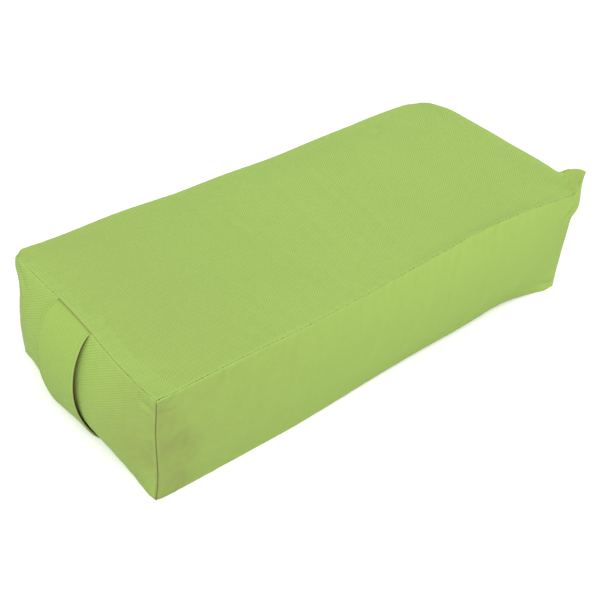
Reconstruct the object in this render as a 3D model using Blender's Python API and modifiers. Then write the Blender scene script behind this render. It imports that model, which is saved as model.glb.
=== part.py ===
"""Rectangular yoga and meditation bolster: a sewn cover with a carry strap and a zip, a liner bag and its filling.

Metres, +Z up. The origin is the middle of the underside, on the floor. +X runs along the bolster and the
carry strap is at the -X end. The front long side faces -Y, and the zip is in the rear long side at +Y.

Every cloth piece is first a plain flat slab in a box-shaped bolster, and "stuffed" then moves its points
to where the filling pushes them. It moves the whole space at once, so pieces that lay beside or inside
each other without touching still do.
"""

from math import atan2, cos, pi, sin

import bmesh
import bpy
from mathutils import Matrix, Vector

# Size of the cut cover, seam to seam
LENGTH = 0.650
WIDTH = 0.280
HEIGHT = 0.150

# Cloth and its clearances
COVER_CLOTH = 0.0012
LINER_CLOTH = 0.0008
GAP = 0.0003
LINER_INSET = 0.0065
LINER_INSET_REAR = 0.0085
FILLING_GAP = 0.0016

# How far the filling pushes the panels out, and the seams stay behind
TOP_CROWN = 0.0065
FRONT_SWELL = 0.0080
REAR_SWELL = 0.0060
END_SWELL = 0.0160
SEAM_DRAW_IN = 0.0095
SEAM_RISE = 0.0090
SEAM_LIFT = 0.0095
FOOT_SPREAD = 0.0025
REAR_SEAM_OUT = 0.0035
PLAIN_SEAM_OUT = 0.0090
PLAIN_SEAM_RISE = 0.0060
FLOOR_CUT = 0.0005
REAR_FLAT_HALF = 0.272
REAR_FLAT_FADE = 0.048

# Corner ears: how far each top corner's tip stands off the plain box corner, and how wide the ear is
EARS = {
    (-1, -1): {"tip": (0.001, 0.000, 0.002), "along_x": 0.030, "along_y": 0.030, "fall": 1.5},
    (1, -1): {"tip": (0.004, 0.002, 0.032), "along_x": 0.036, "along_y": 0.050, "fall": 1.05},
    (-1, 1): {"tip": (0.000, -0.004, 0.006), "along_x": 0.045, "along_y": 0.034, "fall": 1.5},
    (1, 1): {"tip": (-0.012, -0.013, 0.001), "along_x": 0.050, "along_y": 0.050, "fall": 1.5},
}

# Number of facets over each cut length
CELLS_LONG = 24
CELLS_ACROSS = 10
CELLS_HIGH = 6
LINER_CELLS_LONG = 16
LINER_CELLS_ACROSS = 8
LINER_CELLS_HIGH = 4

# Carry strap
STRAP_WIDTH = 0.067
STRAP_MIDDLE_Y = 0.017
STRAP_THICKNESS = 0.0026
STRAP_SLANT = 0.0187
STRAP_BULGE_FRONT = 0.0262
STRAP_BULGE_REAR = 0.0320
STRAP_TUCK = 0.0080
STRAP_CELLS_LONG = 22
STRAP_CELLS_WIDE = 4
STRAP_SLOT_EASE = 0.0014
STRAP_SLOT_DEPTH = 0.0065
TUCK_SHARE = 0.05

# Zip: chain, tapes and the opening it closes
TOOTH_PITCH = 0.0040
TEETH_A_SIDE = 120
TOOTH_ROOT_HALF = 0.00060
TOOTH_HEAD_HALF = 0.00085
TOOTH_REACH = 0.0009
BEAD_INNER = 0.0017
BEAD_OUTER = 0.0026
CHAIN_THICKNESS = 0.0024
TAPE_INNER = 0.0029
TAPE_OUTER = 0.0170
TAPE_THICKNESS = 0.0006
TAPE_HALF_LENGTH = 0.2660
ZIP_SLOT_HALF_LENGTH = 0.2570
ZIP_SLOT_HALF_HEIGHT = 0.0068
ZIP_HEIGHT = HEIGHT / 2
TAPE_COVERED = TAPE_OUTER + 0.0010

# Zip slider
SLIDER_LENGTH = 0.0115
SLIDER_REAR_HALF = 0.0040
SLIDER_FRONT_HALF = 0.0056
SLIDER_PLATE = 0.0010
SLIDER_CHANNEL = 0.0031
SLIDER_FLANGE = 0.0007
SLIDER_FLANGE_DROP = 0.0009
SLIDER_NECK = 0.0048
SLIDER_SHOULDER = 0.0078
SLIDER_PAST_CHAIN = 0.0063
DIAMOND_LENGTH = 0.0040
DIAMOND_HALF = 0.0012
DIAMOND_SET_BACK = 0.0009
BAIL_WIRE_RADIUS = 0.0006
BAIL_HALF_SPAN = 0.0034
BAIL_CLEAR_HEIGHT = 0.0019
BAIL_CORNER = 0.0012

# Pull tab
TAB_LENGTH = 0.0260
TAB_END_HALF = 0.0030
TAB_GRIP_HALF = 0.0040
TAB_THICKNESS = 0.0012
TAB_HOLE_LENGTH = 0.0056
TAB_HOLE_HALF = 0.0018
TAB_GRIP_START = 0.0086
TAB_EYE_RADIUS = 0.0017
TAB_EYE_FROM_END = 0.0042
TAB_AXIS_RISE = 0.00035

# Stops at the two ends of the chain
STOP_LENGTH = 0.0030
STOP_THICKNESS = 0.0030
STOP_ROUNDING = 0.0004

# Places along the zip, worked out from the sizes above
CHAIN_START = -TEETH_A_SIDE * TOOTH_PITCH / 2
CHAIN_END = -CHAIN_START
CHAIN_PLANE_Y = WIDTH / 2 + REAR_SWELL - COVER_CLOTH - GAP - TAPE_THICKNESS / 2
SLIDER_REAR_X = CHAIN_END - (SLIDER_LENGTH - SLIDER_PAST_CHAIN)
SLIDER_FRONT_X = SLIDER_REAR_X + SLIDER_LENGTH
DIAMOND_X = SLIDER_FRONT_X - DIAMOND_LENGTH / 2 - DIAMOND_SET_BACK
BAIL_X = SLIDER_REAR_X + SLIDER_LENGTH / 2
PLATE_FACE_Y = CHAIN_PLANE_Y + SLIDER_CHANNEL / 2 + SLIDER_PLATE
TAB_AXIS_Y = PLATE_FACE_Y + TAB_AXIS_RISE + TAB_THICKNESS / 2

COVER = {"color": (0.381, 0.552, 0.136, 1.0), "roughness": 0.9, "metallic": 0.0}
STRAP = {"color": (0.370, 0.538, 0.132, 1.0), "roughness": 0.9, "metallic": 0.0}
LINER = {"color": (0.78, 0.75, 0.66, 1.0), "roughness": 0.95, "metallic": 0.0}
KAPOK = {"color": (0.80, 0.73, 0.55, 1.0), "roughness": 1.0, "metallic": 0.0}
TAPE = {"color": (0.330, 0.500, 0.120, 1.0), "roughness": 0.85, "metallic": 0.0}
TEETH = {"color": (0.300, 0.450, 0.110, 1.0), "roughness": 0.4, "metallic": 0.0}
METAL = {"color": (0.62, 0.62, 0.60, 1.0), "roughness": 0.3, "metallic": 1.0}


# Scene and materials

def clear_scene():
    for old in list(bpy.data.objects):
        bpy.data.objects.remove(old, do_unlink=True)


def new_collection(name):
    collection = bpy.data.collections.new(name)
    bpy.context.scene.collection.children.link(collection)
    return collection


def give_material(obj, finish):
    material = bpy.data.materials.new(obj.name)
    material.use_nodes = True
    shader = material.node_tree.nodes["Principled BSDF"]
    shader.inputs["Base Color"].default_value = finish["color"]
    shader.inputs["Roughness"].default_value = finish["roughness"]
    shader.inputs["Metallic"].default_value = finish["metallic"]
    material.diffuse_color = finish["color"]
    obj.data.materials.clear()
    obj.data.materials.append(material)


def add_object(name, mesh, collection):
    obj = bpy.data.objects.new(name, mesh)
    collection.objects.link(obj)
    return obj


def smooth(obj, degrees=40.0):
    obj.data.shade_smooth()
    obj.data.set_sharp_from_angle(angle=degrees * pi / 180)


# The stuffed form

def ramp(value):
    """Smooth step from 0 to 1."""
    value = min(1.0, max(0.0, value))
    return value * value * (3.0 - 2.0 * value)


def shoulder(part, power):
    """1 across the middle of a panel, falling to 0 at its seams: a higher power has a tighter shoulder."""
    return 1.0 - min(1.0, abs(part)) ** power


def belly(part, peak, before, after, power):
    """1 at the peak, falling to 0 at "before" short of it and "after" past it."""
    away = (part - peak) / (after if part > peak else before)
    return cos(pi / 2 * min(1.0, abs(away))) ** power


def stuffed(point):
    """Where a point of the plain box goes when the bolster is filled."""
    x, y, z = point
    u = 2.0 * x / LENGTH
    v = 2.0 * y / WIDTH
    w = 2.0 * z / HEIGHT - 1.0
    up = max(0.0, w)
    down = max(0.0, -w)
    front = max(0.0, -v)
    rear = max(0.0, v)
    dx = dy = dz = 0.0

    # Panels crown between their seams
    dz += TOP_CROWN * shoulder(u, 9.0) * shoulder(v, 5.0) * up ** 1.5
    dy -= FRONT_SWELL * shoulder(u, 8.0) * shoulder(w, 2.6) * front ** 1.5
    flat = 1.0 - ramp((abs(x) - REAR_FLAT_HALF) / REAR_FLAT_FADE)
    dy += REAR_SWELL * flat * shoulder(w, 3.0) * rear ** 1.5
    ends = u * abs(u) ** 5.0
    dx += END_SWELL * ends * shoulder(v, 3.0) * shoulder(w, 2.0)

    # The front seams are drawn in between the corners, most towards the plain end
    top_belly = 0.25 * shoulder(u, 4.0) + 0.75 * belly(u, 0.52, 1.0, 0.55, 2.0)
    foot_belly = belly(u, 0.60, 1.05, 0.34, 1.2)
    dy += SEAM_DRAW_IN * top_belly * front ** 6 * up ** 3
    dz += SEAM_RISE * top_belly * front ** 4 * up ** 3
    dy += 0.8 * SEAM_DRAW_IN * foot_belly * front ** 6 * down ** 3
    dz += SEAM_LIFT * foot_belly * ramp((front - 0.74) / 0.26) * down ** 2
    dy -= FOOT_SPREAD * belly(u, -0.55, 0.45, 0.55, 1.0) * front ** 6 * down ** 3

    # The rear and end seams are pushed out a little, and those below lift off the floor
    plain = max(0.0, u)
    dy += REAR_SEAM_OUT * shoulder(u, 6.0) * rear ** 6 * up ** 3
    dz += 0.6 * SEAM_LIFT * shoulder(u, 2.0) * ramp((rear - 0.74) / 0.26) * down ** 2
    dz += 0.6 * SEAM_LIFT * shoulder(v, 2.0) * ramp((plain - 0.90) / 0.10) * down ** 2
    dz += PLAIN_SEAM_RISE * shoulder(v, 2.0) * plain ** 16 * up ** 3
    dx += PLAIN_SEAM_OUT * shoulder(v, 2.0) * (1.0 - 0.7 * v) * plain ** 16 * up ** 3

    # Each top corner is a small ear of turned-out cloth
    for (side_x, side_y), ear in EARS.items():
        away_x = (1.0 - side_x * u) * LENGTH / 2 / ear["along_x"]
        away_y = (1.0 - side_y * v) * WIDTH / 2 / ear["along_y"]
        if away_x < 1.0 and away_y < 1.0:
            fall = (1.0 - away_x) ** 1.5 * (1.0 - away_y) ** ear["fall"]
            dx += ear["tip"][0] * fall * up ** 3
            dy += ear["tip"][1] * fall * up ** 3
            dz += ear["tip"][2] * fall * up ** 3

    # The underside is flat where it rests
    middle = shoulder(u, 12.0) * shoulder(v, 8.0)
    dz -= FLOOR_CUT * middle * down ** 2
    return Vector((x + dx, y + dy, max(0.0, z + dz)))


def stations(half, cells, middle=0.0):
    """Cutting places along one cut length, closer together towards the seams."""
    return [middle + half * sin(pi / 2 * (2.0 * step / cells - 1.0)) for step in range(cells + 1)]


CUTS_X = stations(LENGTH / 2, CELLS_LONG)
CUTS_Y = stations(WIDTH / 2, CELLS_ACROSS)
CUTS_Z = stations(HEIGHT / 2, CELLS_HIGH, HEIGHT / 2)
CUTS_Z_REAR = CUTS_Z + [ZIP_HEIGHT - TAPE_COVERED, ZIP_HEIGHT + TAPE_COVERED]
LINER_CUTS_X = stations(LENGTH / 2 - LINER_INSET, LINER_CELLS_LONG)
LINER_CUTS_Y = stations(WIDTH / 2 - LINER_INSET, LINER_CELLS_ACROSS)
LINER_CUTS_Z = stations(HEIGHT / 2 - LINER_INSET, LINER_CELLS_HIGH, HEIGHT / 2)


def slab(name, collection, low, high, cuts):
    """A plain box from its two corners, cut across at the given places along X, Y and Z."""
    low, high = Vector(low), Vector(high)
    bm = bmesh.new()
    bmesh.ops.create_cube(bm, size=1.0)
    size = high - low
    place = Matrix.Translation((low + high) / 2) @ Matrix.Diagonal((size.x, size.y, size.z, 1.0))
    bmesh.ops.transform(bm, matrix=place, verts=bm.verts)
    for axis in range(3):
        across = Vector((0.0, 0.0, 0.0))
        across[axis] = 1.0
        for cut in cuts[axis]:
            if low[axis] + 0.002 < cut < high[axis] - 0.002:
                everything = bm.verts[:] + bm.edges[:] + bm.faces[:]
                bmesh.ops.bisect_plane(bm, geom=everything, dist=1e-6, plane_co=across * cut, plane_no=across)
    mesh = bpy.data.meshes.new(name)
    bm.to_mesh(mesh)
    bm.free()
    return add_object(name, mesh, collection)


def carve(obj, cutter, operation="DIFFERENCE"):
    """Cut a shape out of an object, or join it on, and keep the plain mesh that results."""
    cutter.hide_render = True
    cutter.display_type = "WIRE"
    boolean = obj.modifiers.new("carve", "BOOLEAN")
    boolean.operation = operation
    boolean.solver = "EXACT"
    boolean.object = cutter
    bpy.context.view_layer.update()
    evaluated = obj.evaluated_get(bpy.context.evaluated_depsgraph_get())
    result = bpy.data.meshes.new_from_object(evaluated)
    obj.modifiers.clear()
    obj.data = result


def move_points(obj, rule):
    for vertex in obj.data.vertices:
        vertex.co = rule(vertex.co)
    obj.data.update()


# Cover

def cover_panels(shapes, cutters):
    half_x, half_y = LENGTH / 2, WIDTH / 2
    inner_low = COVER_CLOTH + GAP
    inner_high = HEIGHT - inner_low
    end_y = half_y - inner_low
    across = (CUTS_X, CUTS_Y, [])
    along = (CUTS_X, [], CUTS_Z)
    along_rear = (CUTS_X, [], CUTS_Z_REAR)
    ends = ([], CUTS_Y, CUTS_Z)
    panels = [
        slab("cover_top_panel", shapes, (-half_x, -half_y, HEIGHT - COVER_CLOTH), (half_x, half_y, HEIGHT), across),
        slab("cover_bottom_panel", shapes, (-half_x, -half_y, 0.0), (half_x, half_y, COVER_CLOTH), across),
        slab("cover_front_panel", shapes, (-half_x, -half_y, inner_low),
             (half_x, -half_y + COVER_CLOTH, inner_high), along),
        slab("cover_rear_upper_strip", shapes, (-half_x, half_y - COVER_CLOTH, ZIP_HEIGHT + GAP / 2),
             (half_x, half_y, inner_high), along_rear),
        slab("cover_rear_lower_strip", shapes, (-half_x, half_y - COVER_CLOTH, inner_low),
             (half_x, half_y, ZIP_HEIGHT - GAP / 2), along_rear),
        slab("cover_handle_end_panel", shapes, (-half_x, -end_y, inner_low),
             (-half_x + COVER_CLOTH, end_y, inner_high), ends),
        slab("cover_plain_end_panel", shapes, (half_x - COVER_CLOTH, -end_y, inner_low),
             (half_x, end_y, inner_high), ends),
    ]

    # The rear side opens along the zip
    slot = zip_opening(cutters)
    carve(panels[3], slot)
    carve(panels[4], slot)

    # The strap's two ends go in through the seams above and below the end panel
    edge = STRAP_WIDTH / 2 + STRAP_SLOT_EASE
    for name, seam_z, inward, middle_y in (
        ("strap_slot_top", inner_high, -1, STRAP_MIDDLE_Y),
        ("strap_slot_bottom", inner_low, 1, STRAP_MIDDLE_Y - STRAP_SLANT),
    ):
        low_z, high_z = sorted((seam_z + inward * STRAP_SLOT_DEPTH, seam_z - inward * STRAP_THICKNESS))
        low = (-half_x - STRAP_TUCK, middle_y - edge, low_z)
        high = (-half_x + STRAP_TUCK, middle_y + edge, high_z)
        carve(panels[5], slab(name, cutters, low, high, ([], [], [])))

    for panel in panels:
        move_points(panel, stuffed)
        smooth(panel, 50.0)
        give_material(panel, COVER)


def zip_opening(cutters):
    """A long slot with round ends, standing through the rear side."""
    bm = bmesh.new()
    bmesh.ops.create_cube(bm, size=1.0)
    long_part = 2.0 * (ZIP_SLOT_HALF_LENGTH - ZIP_SLOT_HALF_HEIGHT)
    bmesh.ops.transform(bm, matrix=Matrix.Diagonal((long_part, 0.02, 2.0 * ZIP_SLOT_HALF_HEIGHT, 1.0)), verts=bm.verts)
    mesh = bpy.data.meshes.new("zip_slot")
    bm.to_mesh(mesh)
    bm.free()
    slot = add_object("zip_slot", mesh, cutters)
    for side in (-1, 1):
        bm = bmesh.new()
        bmesh.ops.create_cone(bm, cap_ends=True, segments=16, radius1=ZIP_SLOT_HALF_HEIGHT,
                              radius2=ZIP_SLOT_HALF_HEIGHT, depth=0.02)
        turn = Matrix.Translation((side * long_part / 2, 0.0, 0.0)) @ Matrix.Rotation(pi / 2, 4, "X")
        bmesh.ops.transform(bm, matrix=turn, verts=bm.verts)
        mesh = bpy.data.meshes.new("zip_slot_end")
        bm.to_mesh(mesh)
        bm.free()
        carve(slot, add_object("zip_slot_end", mesh, cutters), "UNION")
    slot.data.transform(Matrix.Translation((0.0, WIDTH / 2, ZIP_HEIGHT)))
    return slot


# Carry strap

def strap_path(part, y):
    """Middle surface of the strap: part runs 0 to 1 from the top seam to the bottom seam, and past them inside."""
    foot_y = y - STRAP_SLANT
    seam = COVER_CLOTH + 1.5 * GAP + STRAP_THICKNESS / 2
    top = stuffed((-LENGTH / 2, y, HEIGHT - seam))
    foot = stuffed((-LENGTH / 2, foot_y, seam))
    if part <= 0.0:
        return Vector((top.x - part * STRAP_TUCK / TUCK_SHARE, y, top.z))
    if part >= 1.0:
        return Vector((foot.x + (part - 1.0) * STRAP_TUCK / TUCK_SHARE, foot_y, foot.z))
    across = (y - STRAP_MIDDLE_Y) / STRAP_WIDTH + 0.5
    bulge = STRAP_BULGE_FRONT + (STRAP_BULGE_REAR - STRAP_BULGE_FRONT) * across
    out = bulge * sin(pi * part ** (0.80 + 0.15 * across)) ** (0.72 - 0.18 * across)
    return Vector((top.x - out, y - STRAP_SLANT * part, top.z + (foot.z - top.z) * part))


def strap_point(point):
    """Bend the flat strap: X of the flat strap is the way along it, Z is through its thickness."""
    part, y, depth = point.x, point.y, point.z
    step = 0.004
    ahead = strap_path(part + step, y)
    behind = strap_path(part - step, y)
    facing = atan2(ahead.z - behind.z, ahead.x - behind.x) + pi / 2
    place = strap_path(part, y)
    return place + Vector((cos(facing) * depth, 0.0, sin(facing) * depth))


def carry_strap(shapes):
    """A flat band sewn into the top and bottom seams of one end, standing off it as a hand loop."""
    low = (-TUCK_SHARE, STRAP_MIDDLE_Y - STRAP_WIDTH / 2, -STRAP_THICKNESS / 2)
    high = (1.0 + TUCK_SHARE, STRAP_MIDDLE_Y + STRAP_WIDTH / 2, STRAP_THICKNESS / 2)
    span = high[0] - low[0]
    cuts_along = [low[0] + span * step / STRAP_CELLS_LONG for step in range(1, STRAP_CELLS_LONG)]
    cuts_across = [low[1] + STRAP_WIDTH * step / STRAP_CELLS_WIDE for step in range(1, STRAP_CELLS_WIDE)]
    strap = slab("carry_strap", shapes, low, high, (cuts_along, cuts_across, []))
    move_points(strap, strap_point)
    smooth(strap, 50.0)
    give_material(strap, STRAP)


# Zip

def zip_tapes(shapes):
    for name, side in (("zip_tape_upper", 1), ("zip_tape_lower", -1)):
        near, far = sorted((ZIP_HEIGHT + side * TAPE_INNER, ZIP_HEIGHT + side * TAPE_OUTER))
        outer_y = WIDTH / 2 - COVER_CLOTH - GAP
        tape = slab(name, shapes, (-TAPE_HALF_LENGTH, outer_y - TAPE_THICKNESS, near),
                    (TAPE_HALF_LENGTH, outer_y, far), ([], [], []))
        move_points(tape, stuffed)
        give_material(tape, TAPE)


def outline_solid(name, collection, points, thickness):
    """A flat outline in X and Z, filled and given its thickness about Y = 0."""
    curve = bpy.data.curves.new(name, "CURVE")
    curve.dimensions = "2D"
    curve.fill_mode = "BOTH"
    curve.extrude = thickness / 2
    for loop in points:
        spline = curve.splines.new("POLY")
        spline.points.add(len(loop) - 1)
        for spot, (x, z) in zip(spline.points, loop):
            spot.co = (x, z, 0.0, 1.0)
        spline.use_cyclic_u = True
    flat = add_object(name + "_outline", curve, collection)
    bpy.context.view_layer.update()
    evaluated = flat.evaluated_get(bpy.context.evaluated_depsgraph_get())
    mesh = bpy.data.meshes.new_from_object(evaluated)
    bpy.data.objects.remove(flat, do_unlink=True)
    mesh.name = name
    bm = bmesh.new()
    bm.from_mesh(mesh)
    bmesh.ops.remove_doubles(bm, verts=bm.verts, dist=1e-6)
    bmesh.ops.transform(bm, matrix=Matrix.Rotation(pi / 2, 4, "X"), verts=bm.verts)
    bmesh.ops.recalc_face_normals(bm, faces=bm.faces)
    bm.to_mesh(mesh)
    bm.free()
    return add_object(name, mesh, collection)


def tooth_comb(side):
    """Outline of one row: a straight bead, and a dovetail tooth every pitch that fits between two of the other row."""
    first = CHAIN_START + TOOTH_PITCH * (0.25 if side > 0 else 0.75)
    outline = [(CHAIN_START, side * BEAD_OUTER), (CHAIN_START, side * BEAD_INNER)]
    for tooth in range(TEETH_A_SIDE):
        middle = first + TOOTH_PITCH * tooth
        outline += [
            (middle - TOOTH_ROOT_HALF, side * BEAD_INNER),
            (middle - TOOTH_HEAD_HALF, -side * TOOTH_REACH),
            (middle + TOOTH_HEAD_HALF, -side * TOOTH_REACH),
            (middle + TOOTH_ROOT_HALF, side * BEAD_INNER),
        ]
    outline += [(CHAIN_END, side * BEAD_INNER), (CHAIN_END, side * BEAD_OUTER)]
    return outline


def zip_teeth(shapes):
    for name, side in (("zip_teeth_upper", 1), ("zip_teeth_lower", -1)):
        teeth = outline_solid(name, shapes, [tooth_comb(side)], CHAIN_THICKNESS)
        teeth.data.transform(Matrix.Translation((0.0, CHAIN_PLANE_Y, ZIP_HEIGHT)))
        give_material(teeth, TEETH)


def zip_stops(shapes):
    """One stop bridges both rows where the zip opens, and one clamp a row stops the slider where it closes."""
    y_low, y_high = CHAIN_PLANE_Y - STOP_THICKNESS / 2, CHAIN_PLANE_Y + STOP_THICKNESS / 2
    first_x = CHAIN_START - GAP - STOP_LENGTH
    bottom = slab("zip_bottom_stop", shapes, (first_x, y_low, ZIP_HEIGHT - BEAD_OUTER),
                  (first_x + STOP_LENGTH, y_high, ZIP_HEIGHT + BEAD_OUTER), ([], [], []))
    rounded(bottom, STOP_ROUNDING)
    give_material(bottom, METAL)
    stop_x = SLIDER_FRONT_X + GAP
    for name, side in (("zip_top_stop_upper", 1), ("zip_top_stop_lower", -1)):
        near, far = sorted((ZIP_HEIGHT + side * BEAD_INNER / 2, ZIP_HEIGHT + side * BEAD_OUTER))
        stop = slab(name, shapes, (stop_x, y_low, near), (stop_x + STOP_LENGTH, y_high, far), ([], [], []))
        rounded(stop, STOP_ROUNDING)
        give_material(stop, METAL)


def rounded(obj, width, segments=1):
    bevel = obj.modifiers.new("rounded", "BEVEL")
    bevel.width = width
    bevel.segments = segments
    bevel.limit_method = "ANGLE"
    bevel.angle_limit = pi / 6


def slider_outline(grow=0.0):
    """Shield-shaped plate: narrow where the closed chain leaves, wide where the two rows come in."""
    rear, front = SLIDER_REAR_HALF + grow, SLIDER_FRONT_HALF + grow
    side = [
        (0.0, rear * 0.78),
        (0.0011, rear),
        (SLIDER_NECK, rear),
        (SLIDER_SHOULDER, front),
        (SLIDER_LENGTH - 0.0012, front),
        (SLIDER_LENGTH, front * 0.72),
    ]
    return side + [(x, -z) for x, z in reversed(side)]


def zip_slider(shapes, cutters):
    """Two plates round the chain, joined by the diamond that parts the rows, with flanges that keep them in."""
    body = outline_solid("zip_slider_body", shapes, [slider_outline()], SLIDER_CHANNEL + 2.0 * SLIDER_PLATE)

    # The channel through the slider leaves the diamond standing and a narrow slit for the tape on each side
    inner = [(x * 1.4 - 0.002, z * (1.0 - SLIDER_FLANGE / SLIDER_REAR_HALF)) for x, z in slider_outline()]
    channel = outline_solid("slider_channel", cutters, [inner], SLIDER_CHANNEL)
    slit_height = SLIDER_CHANNEL - 2.0 * SLIDER_FLANGE_DROP
    slit = slab("slider_slit", cutters, (-0.01, -slit_height / 2, -0.02), (0.03, slit_height / 2, 0.02), ([], [], []))
    middle = DIAMOND_X - SLIDER_REAR_X
    diamond = [
        (middle - DIAMOND_LENGTH / 2, 0.0),
        (middle + DIAMOND_LENGTH * 0.2, DIAMOND_HALF),
        (middle + DIAMOND_LENGTH / 2, DIAMOND_HALF * 0.6),
        (middle + DIAMOND_LENGTH / 2, -DIAMOND_HALF * 0.6),
        (middle + DIAMOND_LENGTH * 0.2, -DIAMOND_HALF),
    ]
    post = outline_solid("slider_diamond", cutters, [diamond], SLIDER_CHANNEL + SLIDER_PLATE)
    carve(channel, slit, "UNION")
    carve(body, channel)
    carve(body, post, "UNION")

    # A wire bail over the outer plate carries the pull tab
    bail = wire("slider_bail", cutters, bail_route(), BAIL_WIRE_RADIUS)
    carve(body, bail, "UNION")
    body.data.transform(Matrix.Translation((SLIDER_REAR_X, CHAIN_PLANE_Y, ZIP_HEIGHT)))
    smooth(body, 35.0)
    give_material(body, METAL)


def bail_route():
    """An arch in X and Y from the rear of the outer plate to its front."""
    foot = SLIDER_CHANNEL / 2 + SLIDER_PLATE / 2
    crown = SLIDER_CHANNEL / 2 + SLIDER_PLATE + BAIL_CLEAR_HEIGHT + BAIL_WIRE_RADIUS
    middle = BAIL_X - SLIDER_REAR_X
    route = [(middle - BAIL_HALF_SPAN, foot)]
    for side, turn in ((-1, pi), (1, pi / 2)):
        for step in range(4):
            angle = turn - step * pi / 6
            x = middle + side * (BAIL_HALF_SPAN - BAIL_CORNER) + BAIL_CORNER * cos(angle)
            route.append((x, crown - BAIL_CORNER + BAIL_CORNER * sin(angle)))
    route.append((middle + BAIL_HALF_SPAN, foot))
    return route


def wire(name, collection, route, radius):
    """A round wire along points in X and Y, with its ends closed."""
    curve = bpy.data.curves.new(name, "CURVE")
    curve.dimensions = "3D"
    curve.bevel_depth = radius
    curve.bevel_resolution = 1
    curve.use_fill_caps = True
    spline = curve.splines.new("POLY")
    spline.points.add(len(route) - 1)
    for spot, (x, y) in zip(spline.points, route):
        spot.co = (x, y, 0.0, 1.0)
    bent = add_object(name + "_route", curve, collection)
    bpy.context.view_layer.update()
    evaluated = bent.evaluated_get(bpy.context.evaluated_depsgraph_get())
    mesh = bpy.data.meshes.new_from_object(evaluated)
    bpy.data.objects.remove(bent, do_unlink=True)
    bm = bmesh.new()
    bm.from_mesh(mesh)
    bmesh.ops.remove_doubles(bm, verts=bm.verts, dist=1e-6)
    bmesh.ops.recalc_face_normals(bm, faces=bm.faces)
    bm.to_mesh(mesh)
    bm.free()
    return add_object(name, mesh, collection)


def round_loop(middle_x, radius, count):
    steps = [2.0 * pi * step / count for step in range(count)]
    return [(middle_x + radius * cos(angle), radius * sin(angle)) for angle in steps]


def zip_pull(shapes):
    """A flat tab whose end bar lies under the bail, so it lies back over the closed chain or swings over."""
    bar = TAB_THICKNESS / 2
    side = [
        (bar, TAB_END_HALF * 0.8),
        (0.0, TAB_END_HALF),
        (-TAB_HOLE_LENGTH - 0.0006, TAB_END_HALF),
        (-TAB_GRIP_START, TAB_END_HALF * 0.82),
        (-TAB_GRIP_START - 0.0025, TAB_GRIP_HALF),
        (-TAB_LENGTH + 0.0030, TAB_GRIP_HALF),
        (-TAB_LENGTH + 0.0009, TAB_GRIP_HALF * 0.72),
        (-TAB_LENGTH, TAB_GRIP_HALF * 0.3),
    ]
    outline = side + [(x, -z) for x, z in reversed(side)]
    hole = [
        (-bar, TAB_HOLE_HALF),
        (-bar - TAB_HOLE_LENGTH, TAB_HOLE_HALF),
        (-bar - TAB_HOLE_LENGTH, -TAB_HOLE_HALF),
        (-bar, -TAB_HOLE_HALF),
    ]
    eye = round_loop(-TAB_LENGTH + TAB_EYE_FROM_END, TAB_EYE_RADIUS, 12)
    tab = outline_solid("zip_pull_tab", shapes, [outline, hole, eye], TAB_THICKNESS)
    tab.location = (BAIL_X, TAB_AXIS_Y, ZIP_HEIGHT)
    give_material(tab, METAL)


# Liner bag and filling

def liner_and_filling(shapes):
    half_x = LENGTH / 2 - LINER_INSET
    front_y = -WIDTH / 2 + LINER_INSET
    rear_y = WIDTH / 2 - LINER_INSET_REAR
    low_z, high_z = LINER_INSET, HEIGHT - LINER_INSET
    step = LINER_CLOTH + GAP
    across = (LINER_CUTS_X, LINER_CUTS_Y, [])
    along = (LINER_CUTS_X, [], LINER_CUTS_Z)
    ends = ([], LINER_CUTS_Y, LINER_CUTS_Z)
    panels = [
        slab("liner_top_panel", shapes, (-half_x, front_y, high_z - LINER_CLOTH), (half_x, rear_y, high_z), across),
        slab("liner_bottom_panel", shapes, (-half_x, front_y, low_z), (half_x, rear_y, low_z + LINER_CLOTH), across),
        slab("liner_front_panel", shapes, (-half_x, front_y, low_z + step),
             (half_x, front_y + LINER_CLOTH, high_z - step), along),
        slab("liner_rear_panel", shapes, (-half_x, rear_y - LINER_CLOTH, low_z + step),
             (half_x, rear_y, high_z - step), along),
        slab("liner_handle_end_panel", shapes, (-half_x, front_y + step, low_z + step),
             (-half_x + LINER_CLOTH, rear_y - step, high_z - step), ends),
        slab("liner_plain_end_panel", shapes, (half_x - LINER_CLOTH, front_y + step, low_z + step),
             (half_x, rear_y - step, high_z - step), ends),
    ]
    for panel in panels:
        move_points(panel, stuffed)
        smooth(panel, 50.0)
        give_material(panel, LINER)

    inset = LINER_CLOTH + FILLING_GAP
    filling = slab("kapok_filling", shapes, (-half_x + inset, front_y + inset, low_z + inset),
                   (half_x - inset, rear_y - inset, high_z - inset), (LINER_CUTS_X, LINER_CUTS_Y, LINER_CUTS_Z))
    move_points(filling, stuffed)
    smooth(filling, 50.0)
    give_material(filling, KAPOK)


def build():
    clear_scene()
    shapes = new_collection("meditation_bolster")
    cutters = new_collection("cutters")
    cover_panels(shapes, cutters)
    carry_strap(shapes)
    zip_tapes(shapes)
    zip_teeth(shapes)
    zip_stops(shapes)
    zip_slider(shapes, cutters)
    zip_pull(shapes)
    liner_and_filling(shapes)


build()
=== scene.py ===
from functools import lru_cache
from math import cos, pi, radians, sin, sqrt

import bmesh
import bpy
import numpy as np
from mathutils import Matrix, Vector, noise


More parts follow.
